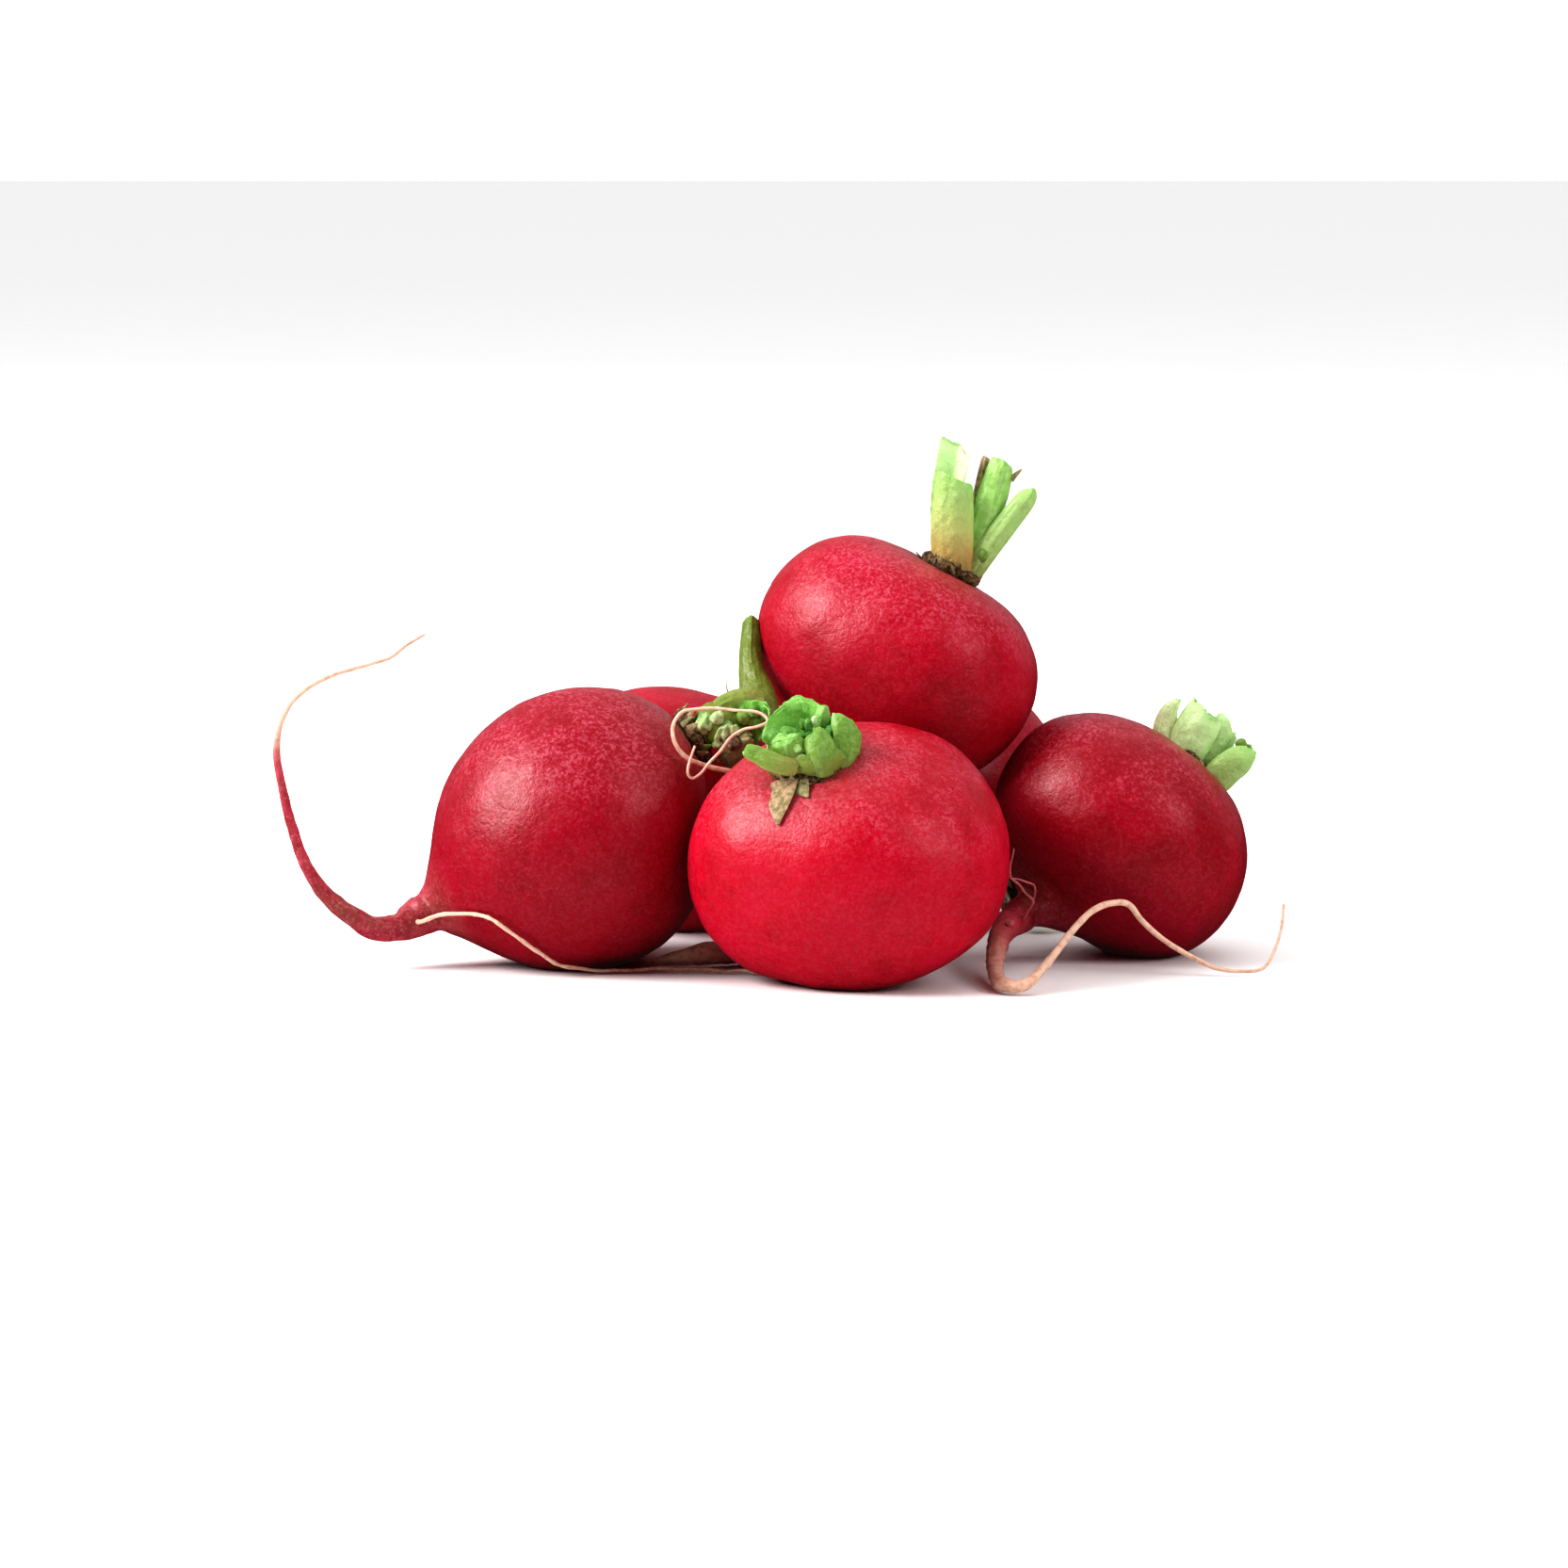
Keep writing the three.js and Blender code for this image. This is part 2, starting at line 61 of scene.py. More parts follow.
CROWN_HEIGHT = 1.4  # half the thickness of the corky crown disc
SCALES = 26  # torn scales round a crown
SCALE_THICK = 0.35
BUD_WIDTH = 0.33  # half the width of the bud among the stalks, as a share of the crown's width
INSET = 0.7  # how far a stalk's middle stands inside the crown's rim, in thicknesses
BLADE_TIP = 0.1  # width of a thin scale's tip, as a share of its foot's
# How deep a stalk's cut end is hollowed, at shares of its width.
CUT_DEPTHS = ((0.93, -0.02), (0.75, 0.12), (0.5, 0.2), (0.25, 0.16), (0.06, 0.1))

WAVES = 18  # in one layer of random heights
CURVE_STEPS = 40
BULB_SIDES = 144
BULB_RINGS = 120
ROOT_SIDES = ((1.1, 72), (0.55, 36), (0, 18))  # radius of a tap root, and its sides above that
ROOT_STEP = 0.45
HAIR_SIDES = 8
HAIR_STEP = 0.5
STALK_SIDES = 48
STALK_STEP = 0.3
KNOB_SIDES = 60
KNOB_RINGS = 12
BLADE_SIDES = 12
BLADE_RINGS = 9

# How each kind of green or dry tissue looks: its depth from pale, 0, to deep green, 1, and its shares
# of olive, of dry brown, and of rusty orange at the foot.
LOOK_NUMBERS = ("depth", "olive", "dry", "rust")
LOOKS = dict(
    green=(0.65, 0.15, 0, 0.1),
    fresh=(0.5, 0.05, 0, 0),
    bright=(0.55, 0, 0, 0),
    leafy=(0.7, 0.5, 0, 0.1),
    yellowish=(0.42, 0.25, 0, 0.1),
    pale=(0.12, 0, 0, 0),
    papery=(0, 0.1, 0, 0.15),
    # lit is a paler green for stalks that lie in the top bulb's shade: painted light.
    lit=(0.22, 0, 0, 0),
    olive=(0.5, 0.9, 0, 0.15),
    mossy=(0.9, 1, 0, 0.1),
    stained=(0.7, 0.6, 0, 0.35),
    rusty=(0.45, 0.2, 0, 1),
    fuzzy=(0.12, 0.3, 0.15, 0),
    lump=(0.8, 0.15, 0, 0),
    bud=(1, 0.1, 0, 0),
    husk=(0.2, 0.95, 0.85, 0),
    dry=(0.3, 0.5, 0.75, 0),
    cork=(0.2, 0, 1, 0),
)

# What a stalk is like where it doesn't say: how far its sides bend back from its face, how scooped
# its back is, how its cut end slants to one side, is higher in the middle and is rounded off, how
# lumpy it is and how ragged its cut is.
PLAIN_STALK = dict(cup=0.8, hollow=1.0, slant=0, dome=0.3, soft=0.3, lumpy=1, ragged=1, look="green")

# The radishes lie as in the CAD, but the rear left bulb is 2 mm higher. For each one:
# - a stalk has a path, whose points end with its width there, and the way its ribbed face looks. A
#   hidden one has a turn from the front, a lean from stalks_to, and its widths at foot and tip.
# - its red is multiplied by a share that is partly the radish's own deeper or brighter red, and on the rear
#   bulbs painted light and shade: it darkens the rear right as painted shade and brightens the rear left's
#   shaded front as painted light. Another share multiplies the pale and dark flecks on its upper side, which
#   are partly its own flecks and partly a painted reflection of the light overhead.
# - centre is the middle of its bulb, axis runs from its root end to its crown, and across is its width
#   from side to side and from front to back.
# - shoulder and hip are smaller where its two ends are fuller, taper is larger where the root end
#   draws out later, and lobe is the share and turn of its three-sided swelling.
# - crown_rise is how far the collar stands out, and scales multiplies the length of its scales.
# - wrinkled is the depth of its tap root's wrinkles, and pale_between the thicknesses between which
#   the root turns pale. The points of roots end with the root's thickness there.
# - a knob has a place, the way it stands, its height, its half width and its look. Shreds are dry
#   flaps, in the order that blade takes them.

FRONT_STALKS = [
    dict(path=[(-6.2, -5.4, 29.2, 8), (-6.3, -4.4, 33, 9.6), (-6.3, -4.4, 35.6, 9.8), (-6.3, -5, 37.9, 8.8)],
         face=(0, 1, 0.1), thick=1.8, cup=2.6, dome=2.1, hollow=0.5, lumpy=2.4, look="bright"),
    dict(path=[(-0.9, -10, 29.3, 4.4), (0.3, -9.8, 31.4, 5), (0.4, -9.5, 34, 4.6), (0.1, -9.2, 35.5, 3.6)],
         face=(0.8, -0.6, 0.1), thick=1.7, cup=1.1, dome=0.3, slant=1.5, lumpy=1.2, look="leafy"),
    dict(path=[(-3.6, -11.3, 29.2, 4.8), (-3.7, -12.1, 31, 5), (-3.8, -11.9, 33, 5),
               (-3.9, -10.6, 34.4, 4.6)],
         face=(0.15, -1, 0.1), thick=3.2, cup=0.8, hollow=0.3, soft=0.9, dome=1, lumpy=1.3, look="leafy"),
    dict(path=[(-6.8, -10.6, 29, 5.2), (-7.4, -10.8, 30.6, 5.4), (-8, -11.2, 32, 5.2),
               (-8.6, -11.9, 33.2, 4.8)],
         face=(-0.2, -0.9, -0.4), thick=3.6, cup=0.3, hollow=0, soft=0.35, lumpy=1.6, look="stained"),
    dict(path=[(-7, -12, 29.7, 2.6), (-9.6, -12.9, 30.4, 2.7), (-12, -12.6, 31.5, 2.4),
               (-13.5, -12.3, 32, 2.2)],
         face=(0, -0.8, 0.6), thick=2.3, cup=0.2, hollow=0.2, soft=0.4, look="stained"),
    dict(path=[(-3.8, -11.4, 28.8, 8.6), (-3.9, -12.4, 30.2, 9.6), (-4, -12.7, 31.7, 9.2)],
         face=(0.1, -1, 0.1), thick=2, cup=2.2, dome=0.5, hollow=0.2, soft=0.8, lumpy=1.8, look="olive"),
]
FRONT = dict(
    name="front", tint_and_shade=1.24, centre=(1.2, -1.5, 15.9), axis=(-0.19, -0.47, 0.85),
    across=(42.7, 38.5), crown=(-5.2, -8.2, 29.6), stalks_to=(-0.06, -0.38, 0.92),
    root_end=(6, 11.5, 3.4), shoulder=0.9, hip=0.66, taper=6, lobe=(0.05, 279), crown_width=9.5,
    # The pale range reaches past the tail's thickest part, so all of this tail turns pink and cream, partly
    # to lighten it where it lies in shade between the bulbs: partly painted light.
    crown_rise=0.2, wrinkled=0.07, pale_between=(0.8, 6.5), stalks=FRONT_STALKS,
    roots=[
        [(6, 11.5, 3.4, 4.6), (9, 15.5, 2.6, 4.2), (7, 19.5, 2.2, 3.9), (0, 20.5, 2.1, 3.7),
         (-8, 17, 2, 3.5), (-14, 12.5, 1.9, 3.3), (-19, 10.4, 1.8, 3.1), (-23.3, 10, 1.2, 1.9),
         (-26.8, 10, 0.6, 0.6)],
    ],
    knobs=[
        ((-9.9, -9, 33.4), (-0.3, -0.5, 1), 1.1, 1.4, "lump"),
        ((-8, -8.8, 33.4), (0, -0.4, 1), 1.2, 1.5, "lump"),
        ((-3.4, -7.2, 35.4), (0.2, -0.3, 1), 2, 1, "bright"),
        ((-5.3, -8.4, 34.4), (0, -0.4, 1), 1.3, 0.55, "lump"),
        ((-4.6, -8.6, 35.2), (0.3, -0.4, 1), 0.9, 0.4, "pale"),
        ((-6.1, -8.6, 34.9), (-0.3, -0.4, 1), 0.9, 0.4, "lump"),
        ((-5.2, -9.4, 33.2), (0, -0.5, 1), 0.9, 0.6, "bud"),
        ((-6.6, -9.8, 33), (-0.2, -0.5, 1), 0.9, 0.8, "lump"),
        ((-2.4, -9, 33.4), (0.3, -0.3, 1), 1.6, 0.9, "bud"),
        ((-6.8, -12.6, 32.2), (0, -0.8, 0.6), 0.4, 0.5, "fresh"),
    ],
    shreds=[
        ((-8.4, -11, 27.8), (-0.2, -0.79, -0.63), (-0.5, -0.68, 0.54), 7.2, 5, 0.5, "husk", -0.34),
        ((-7, -11.3, 28), (0.36, -0.83, -0.42), (-0.46, -0.64, 0.62), 4.2, 3.4, 0.6, "dry", -0.16),
    ],
)

LEFT_STALKS = [
    dict(path=[(-12.1, 17, 31, 6), (-11.9, 19.2, 35, 5.5), (-13, 23.6, 40, 3.3), (-12.8, 28.2, 45.4, 2.9)],
         face=(-0.1, -0.9, 0.4), thick=2.4, cup=0.5, dome=0.1, soft=0.1, look="mossy"),
    dict(path=[(-11.4, 16.4, 35, 4.4), (-14.2, 15.8, 35.6, 4.2), (-17, 14.8, 34.7, 3.2),
               (-19.4, 14, 33.1, 1.2)],
         face=(-0.1, -0.8, 0.6), thick=1.8, cup=0.5, soft=0.8, look="olive"),
    dict(path=[(-13.4, 15.2, 31.2, 4.4), (-12.2, 14.4, 33.4, 4.8), (-11.7, 13.8, 35.8, 4.4)],
         face=(0.1, 0.9, -0.2), thick=1.6, cup=1.2, lumpy=2, dome=0.5, hollow=0.5, look="lump"),
    dict(path=[(-18.2, 15.4, 30.2, 3.6), (-18.9, 13.6, 32, 3.8), (-19.1, 12.4, 33.5, 3.4)],
         face=(-0.4, -0.9, 0.1), thick=2.4, cup=0.3, hollow=0.1, soft=0.7, ragged=2, lumpy=3, look="fuzzy"),
    dict(path=[(-16.6, 14, 29.4, 3.4), (-16.1, 12.4, 31.2, 3.6), (-15.9, 11.6, 32.7, 3.2)],
         face=(0, -0.9, 0.3), thick=2.6, cup=0.3, hollow=0.1, soft=0.7, ragged=2, lumpy=3, look="fuzzy"),
    dict(path=[(-16.4, 15, 28.4, 4), (-14.4, 13, 29.6, 3.6), (-12.8, 12, 31, 3)],
         face=(0, -0.9, 0.3), thick=2.8, cup=0.4, hollow=0.2, soft=0.5, ragged=2, lumpy=2, look="dry"),
]
LEFT = dict(
    name="left", tint_and_shade=0.84, centre=(-35.3, 14.1, 17.9), axis=(0.86, 0.12, 0.46), across=(38.2, 37),
    crown=(-21.2, 16.3, 30), stalks_to=(0.8, 0.05, 0.55), root_end=(-57.5, 11.5, 6.9),
    shoulder=1.28, hip=1.17, taper=2.5, lobe=(0.03, 319), crown_width=8.5, crown_rise=0.6,
    wrinkled=0.12, pale_between=(0.75, 1.25), stalks=LEFT_STALKS,
    roots=[
        [(-57.5, 11.5, 6.9, 5.6), (-60.6, 9.8, 5.5, 3.8), (-63.7, 8.5, 5.6, 3.2), (-66.8, 7.5, 7.6, 2.7),
         (-69.9, 6.5, 10.4, 2.2), (-72.3, 5.5, 14.3, 1.7), (-74.1, 5, 19.5, 1.4), (-75.3, 5, 24.5, 1.2),
         (-76.1, 5, 29.6, 1), (-75.6, 5, 33.4, 0.8), (-74, 5.5, 36.5, 0.7), (-71.5, 6.5, 38.5, 0.6),
         (-68.4, 8, 39.9, 0.55), (-64.2, 10, 41, 0.5), (-61.2, 11.5, 41.9, 0.5), (-59.2, 12.5, 43.4, 0.45),
         (-56.9, 14, 44.7, 0.4)],
        [(-58.6, 11, 6.3, 0.9), (-57.6, 8.6, 6.5, 0.7), (-56.4, 6.6, 7.1, 0.62), (-53.4, 4.5, 8.05, 0.58),
         (-50.3, 2.6, 8.3, 0.55), (-47.6, 0.7, 7.9, 0.55), (-45.8, -0.1, 7, 0.55), (-43.6, 0.1, 5.2, 0.55),
         (-41.4, 0.9, 3.4, 0.55), (-38.4, 2.4, 1.5, 0.55), (-32, 4.5, 0.45, 0.5), (-25.1, 5.2, 0.45, 0.5),
         (-17.6, 4.6, 0.45, 0.5), (-11, 2.6, 0.45, 0.5)],
    ],
    knobs=[
        ((-16.4, 15.6, 32), (0.5, -0.3, 0.8), 2.8, 4, "mossy"),
        ((-11.2, 12.9, 34), (0, -0.4, 1), 1, 0.9, "lump"),
        ((-12.6, 12.8, 34.4), (0, -0.4, 1), 1.1, 0.9, "lump"),
        ((-13.8, 12.8, 33.6), (0, -0.4, 1), 1, 1, "leafy"),
        ((-17.4, 12.2, 33.6), (0, -0.4, 1), 0.9, 1, "fuzzy"),
        ((-15.2, 11.8, 30.4), (0, -0.6, 1), 0.9, 1.4, "cork"),
    ],
    shreds=[
        ((-15.6, 17, 36), (-0.9, 0.1, 1), (0.6, 0, 0.8), 2.4, 0.8, 0.3, "dry", 0.9),
    ],
)

RIGHT_STALKS = [
    dict(path=[(43.8, 30, 28, 3.4), (44.1, 30, 31, 3.2), (44.8, 30, 33, 2.4), (46.1, 29.8, 34.6, 1)],
         face=(-0.1, -0.9, 0.3), thick=0.9, cup=0.4, hollow=0.7, soft=0.6, ragged=1.6, look="papery"),
    dict(path=[(45.8, 29.4, 25.6, 5.4), (47.1, 29, 28.6, 6.2), (48.6, 28.8, 31.2, 6),
               (49.6, 28.8, 32.8, 5.4)],
         face=(-0.2, -0.9, 0.3), thick=2.8, cup=0.9, slant=0.5, dome=0, soft=0.1, ragged=1.8, look="lit"),
    dict(path=[(49.4, 30.6, 24.6, 4.2), (50.8, 30.4, 27.2, 4.8), (52.4, 30.2, 29.8, 4.6),
               (53, 30.2, 30.6, 4.4)],
         face=(0.2, -0.9, 0.2), thick=2.6, cup=0.8, slant=0.9, soft=0.1, ragged=1.4, look="lit"),
    dict(path=[(50.2, 28, 22.4, 4.6), (52.4, 27.4, 24.7, 4.8), (54.4, 27.1, 26.4, 4.6), (56, 27, 27.6, 3.8)],
         face=(0.3, -0.9, -0.2), thick=3, cup=0.4, hollow=0.2, soft=1, dome=0.5, look="yellowish"),
    dict(path=[(48, 34.4, 26.4, 5.4), (49.4, 35.4, 29.4, 5.2), (50.4, 36, 31.8, 4.8)],
         face=(0, 1, 0.2), thick=2.6, cup=0.8, look="green"),
    dict(path=[(53.6, 29.6, 24, 3), (55, 29.2, 26.6, 2.6), (55.8, 29, 28, 1.6)],
         face=(0.4, -0.8, 0), thick=1.4, cup=0.4, soft=0.7, look="leafy"),
]
RIGHT = dict(
    name="right", tint_and_shade=0.85, centre=(38.1, 24, 16.5), axis=(0.64, 0.3, 0.63), across=(37.4, 36),
    crown=(47.2, 31.5, 24.2), stalks_to=(0.5, 0.22, 0.83), root_end=(24, 17, 6.4), shoulder=0.94,
    hip=0.73, taper=6, lobe=(0.01, 258), crown_width=10.5, crown_rise=0.4, scales=0.3, wrinkled=0.1,
    # The pale range is set high so the upright part of the tap root, in the front bulb's shade, turns partly
    # pink and cream: partly painted light.
    pale_between=(1.3, 4.2), stalks=RIGHT_STALKS,
    roots=[
        [(24, 17, 6.4, 5), (21.3, 11, 5.1, 3.4), (19.9, 3, 3.2, 2.6), (19.5, -6, 1.7, 2.2),
         (20.2, -13, 1.2, 1.9), (22.6, -15, 1.2, 1.6), (25.2, -12, 2.8, 1.2), (27.8, -8, 5.3, 1),
         (29.9, -4, 7.2, 0.95), (32.6, 0, 9.1, 0.9), (35.3, 3, 9.7, 0.9), (37.6, 4, 9.4, 0.85),
         (39.4, 4, 7.2, 0.8), (42.4, 3.6, 4.6, 0.75), (45.6, 3, 2.7, 0.7), (49.3, 2.5, 1, 0.6),
         (53, 3, 0.5, 0.5), (55.7, 4.5, 0.7, 0.45), (57.4, 7, 2.7, 0.4), (58.5, 9, 5.5, 0.4),
         (59, 11, 8.4, 0.4)],
        [(23.8, 13, 6.2, 0.42), (24.9, 10.5, 8.1, 0.38), (25.1, 9.3, 9.3, 0.36), (23.9, 8.2, 10.6, 0.34),
         (22.7, 6, 12, 0.32), (21.8, 3.5, 13.4, 0.3), (21.7, 2.8, 15.2, 0.28), (22.2, 2.5, 17.1, 0.22)],
        [(25.1, 9.3, 9.3, 0.3), (25.3, 8.3, 10.4, 0.28), (25.1, 7.8, 11.6, 0.26), (24.2, 7.2, 12, 0.24),
         (22.8, 6.2, 12.6, 0.24), (21.7, 4.8, 12.9, 0.22), (21.2, 3.4, 13.6, 0.2)],
        [(22.2, 10.4, 5.9, 1), (21.9, 8.8, 6.1, 0.9), (21.8, 8.3, 6.2, 0.7)],
    ],
    knobs=[
        ((54.4, 28.2, 28.4), (0.4, -0.2, 1), 0.7, 0.8, "leafy"),
    ],
)

TOP_STALKS = [
    dict(path=[(14.7, 27.6, 51.8, 5.6), (14.5, 27.4, 56.3, 5.9), (14.6, 27.3, 60.5, 5.8),
               (14.9, 27.3, 65, 5.2)],
         face=(-0.1, -1, 0), thick=2.2, cup=0.8, slant=0.8, soft=0.15, dome=0.1, look="rusty"),
    dict(path=[(15, 31.2, 52.6, 4.6), (14.4, 31.2, 58, 4.7), (14.3, 31, 63, 4.4), (15.5, 31, 69.1, 4.9)],
         face=(0.35, 0.95, 0), thick=1.8, cup=1.3, slant=-1.1, dome=0.2, look="pale"),
    dict(path=[(17.4, 31, 53.6, 2), (18, 31.2, 60, 1.9), (18.7, 31.5, 64.6, 1.6), (19.3, 31.7, 67.8, 1.2)],
         face=(-0.2, -1, 0), thick=0.9, cup=0.3, look="husk"),
    dict(path=[(17.6, 29.6, 52.8, 2.8), (18.8, 29.6, 57.6, 3.9), (20.4, 29.8, 63, 4.2),
               (21.6, 30, 67.2, 3.6)],
         face=(0.1, -1, 0.15), thick=2.4, cup=0.5, dome=0.5, slant=0.3, soft=0.5, look="fresh"),
    dict(path=[(17, 28.9, 51.6, 3.2), (21, 28.4, 57.3, 3.3), (23.8, 28.2, 60.9, 3.1), (25.7, 28, 63.4, 2.9)],
         face=(0.3, -0.9, 0.3), thick=2.4, cup=0.2, hollow=0.3, dome=0.5, soft=1, look="yellowish"),
]
TOP = dict(
    name="top", tint_and_shade=1.06, centre=(8.5, 29.9, 40.3), axis=(0.55, 0.03, 1), across=(39.9, 38),
    crown=(13.9, 29.9, 51.4), stalks_to=(0.1, 0, 1), root_end=(-3, 27.5, 22.2), shoulder=0.73,
    hip=0.8, taper=6, lobe=(0.06, 275), crown_width=8.4, crown_rise=1, scales=0.6, wrinkled=0.08,
    pale_between=(0.9, 2.2), stalks=TOP_STALKS,
    roots=[
        [(-3, 27.5, 22.2, 3), (-6.5, 24, 21.3, 1.6), (-10.5, 18.5, 23, 1.2), (-13.5, 13.5, 25.3, 1),
         (-16.1, 10, 26.7, 0.76), (-17.8, 8.5, 27.2, 0.71), (-19.6, 6.5, 28, 0.67), (-21.1, 5, 28.8, 0.67),
         (-22.2, 4.5, 29.8, 0.63), (-23, 4, 31.2, 0.59), (-23.3, 4.5, 32.9, 0.55), (-22.9, 5, 34.1, 0.5),
         (-21.9, 5, 35.2, 0.5), (-20.3, 5, 35.5, 0.46), (-17.8, 4.5, 35.7, 0.46), (-14.9, 3.5, 35.5, 0.42),
         (-12.1, 2.5, 35.4, 0.42), (-11, 2, 34.9, 0.42), (-10.6, 1.5, 34.2, 0.42), (-12.1, 1.5, 33.5, 0.42),
         (-13.8, 2, 33.1, 0.42), (-15.5, 2.5, 32, 0.42), (-16.9, 3, 30.1, 0.42), (-18.4, 3.3, 28.5, 0.42),
         (-19.5, 3.4, 27.1, 0.38), (-20.7, 3.4, 26.4, 0.38), (-21.2, 3.2, 26.9, 0.38),
         (-21.2, 3.2, 27.9, 0.38), (-20.8, 3.6, 29.3, 0.34), (-20.3, 4, 30.7, 0.34)],
    ],
    knobs=[
        ((18.8, 27.6, 54.3), (0.4, -0.3, 1), 0.9, 0.7, "leafy"),
        ((17.6, 29.6, 54.6), (0.2, -0.2, 1), 1.2, 1, "bud"),
    ],
    shreds=[
        ((22.6, 30, 64.6), (0.9, 0, 0.9), (0.2, -1, 0), 2.2, 1, 0.4, "dry", 0.3),
        ((10.8, 29.4, 53.6), (-0.9, 0, 0.6), (0.5, 0, 0.9), 1.6, 1, 0.4, "cork", 0.4),
    ],
)

REAR_LEFT_STALKS = [
    dict(turn=0, lean=14, length=10, foot=5.5, tip=4.5, thick=2.8),
    dict(turn=75, lean=18, length=13, bow=0.5),
    dict(turn=150, lean=20, length=11, foot=5.5, tip=4.5, thick=2.8, bow=0.5),
    dict(turn=-135, lean=16, length=14, bow=0.5),
    dict(turn=-65, lean=16, length=9),
]
REAR_LEFT = dict(
    # The rear left's red is raised partly to brighten its front, which lies in the left bulb's shade:
    # painted light. Its upper flecks are cut to a tenth, which takes most of its painted reflection away.
    name="rear_left", tint_and_shade=1.2, flecks_and_sheen=0.1, centre=(-23.1, 48, 17), axis=(-0.3, 0.82, 0.2),
    across=(33.6, 39.6), crown=(-28, 64, 18.5), stalks_to=(-0.3, 0.95, 0.05),
    root_end=(-17, 33, 12), shoulder=0.85, hip=0.85, taper=6, lobe=(0.012, 0), crown_width=8,
    crown_rise=0.6, wrinkled=0.12, pale_between=(0.7, 1.6), stalks=REAR_LEFT_STALKS,
    roots=[
        [(-17, 33, 12, 3.2), (-14.5, 30.5, 10.5, 2.2), (-12, 28, 7, 1.6), (-12, 26, 3, 1.2),
         (-14.5, 23, 1, 0.8), (-18.5, 23, 0.6, 0.5)],
    ],
)

# The cork and mossy looks keep these hidden stalks dark where they show through the gap between the bulbs:
# painted shade.
REAR_RIGHT_STALKS = [
    dict(turn=0, lean=14, length=7.5, thick=2.8, look="cork"),
    dict(turn=75, lean=16, length=9, look="cork"),
    dict(turn=150, lean=12, length=11.5, thick=2.8, look="leafy"),
    dict(turn=-135, lean=12, length=9, look="mossy"),
    dict(turn=-65, lean=16, length=7.5, look="mossy"),
]
REAR_RIGHT = dict(
    # The rear right's red is lowered to darken it: painted shade. Its upper flecks are cut to a tenth, which
    # takes most of its painted reflection away, for the same darker look.
    name="rear_right", tint_and_shade=0.85, flecks_and_sheen=0.1, centre=(13.5, 60.9, 17.8), axis=(0.55, -0.6, -0.5),
    across=(36.4, 36.4), crown=(22.4, 50.6, 9.2), stalks_to=(0.5, -0.8, -0.3),
    root_end=(3, 72.5, 28), shoulder=0.85, hip=0.85, taper=6, lobe=(0.012, 60), crown_width=8,
    crown_rise=0.6, wrinkled=0.16, pale_between=(0.8, 1.8), stalks=REAR_RIGHT_STALKS,
    roots=[
        [(3, 72.5, 28, 4), (0.5, 75.5, 29.5, 2.8), (-3.5, 78, 28.5, 2.2), (-7, 79, 23.5, 1.6),
         (-8.5, 78.5, 16, 1.3), (-8, 77, 8, 1.1), (-4.5, 76, 2.4, 0.9), (2, 76.5, 0.8, 0.7),
         (9, 78, 0.6, 0.5)],
    ],
)

RADISHES = [FRONT, LEFT, RIGHT, TOP, REAR_LEFT, REAR_RIGHT]

# ---------------------------------------------------------------- small tools


def unit(vector):
    vector = np.asarray(vector, float)
    return vector / np.linalg.norm(vector)


def mix(low, high, share):
    return low + (high - low) * share


def smooth(value, start, end):
    """0 before start and 1 after end, with a smooth rise between them."""
    share = np.clip((value - start) / (end - start), 0, 1)
    return share * share * (3 - 2 * share)


def around(count):
    """The angles of points evenly round a ring."""
    return 2 * math.pi * np.arange(count) / count


def circle(turn, front, side):
    """Points round a ring of radius 1, at each angle of turn."""
    return np.cos(turn)[:, None] * front + np.sin(turn)[:, None] * side


def frame_along(direction):
    """An axis with two directions across it: front leans towards -Y, and side is to its right."""
    axis = unit(direction)
    toward = np.array([0.0, -1.0, 0.0])
    front = unit(toward - axis * (toward @ axis))
    return axis, front, np.cross(axis, front)


def lumps(points, size, seed):
    """Smooth random heights at points, mostly from -1 to 1, that change over a length of size."""
    dice = np.random.default_rng(seed)
    ways = dice.normal(size=(WAVES, 3))
    ways /= np.linalg.norm(ways, axis=1, keepdims=True)
    ways *= 2 * math.pi / size * dice.uniform(0.6, 1.5, size=(WAVES, 1))
    phases = dice.uniform(0, 2 * math.pi, WAVES)
    heights = sum(np.sin(points @ way + phase) for way, phase in zip(ways, phases))
    return heights / math.sqrt(WAVES)


def uneven(points, seed, *layers):
    """The sum of random heights in layers, each given by its height and the size of its lumps."""
    return sum(height * lumps(points, size, seed + k) for k, (height, size) in enumerate(layers))


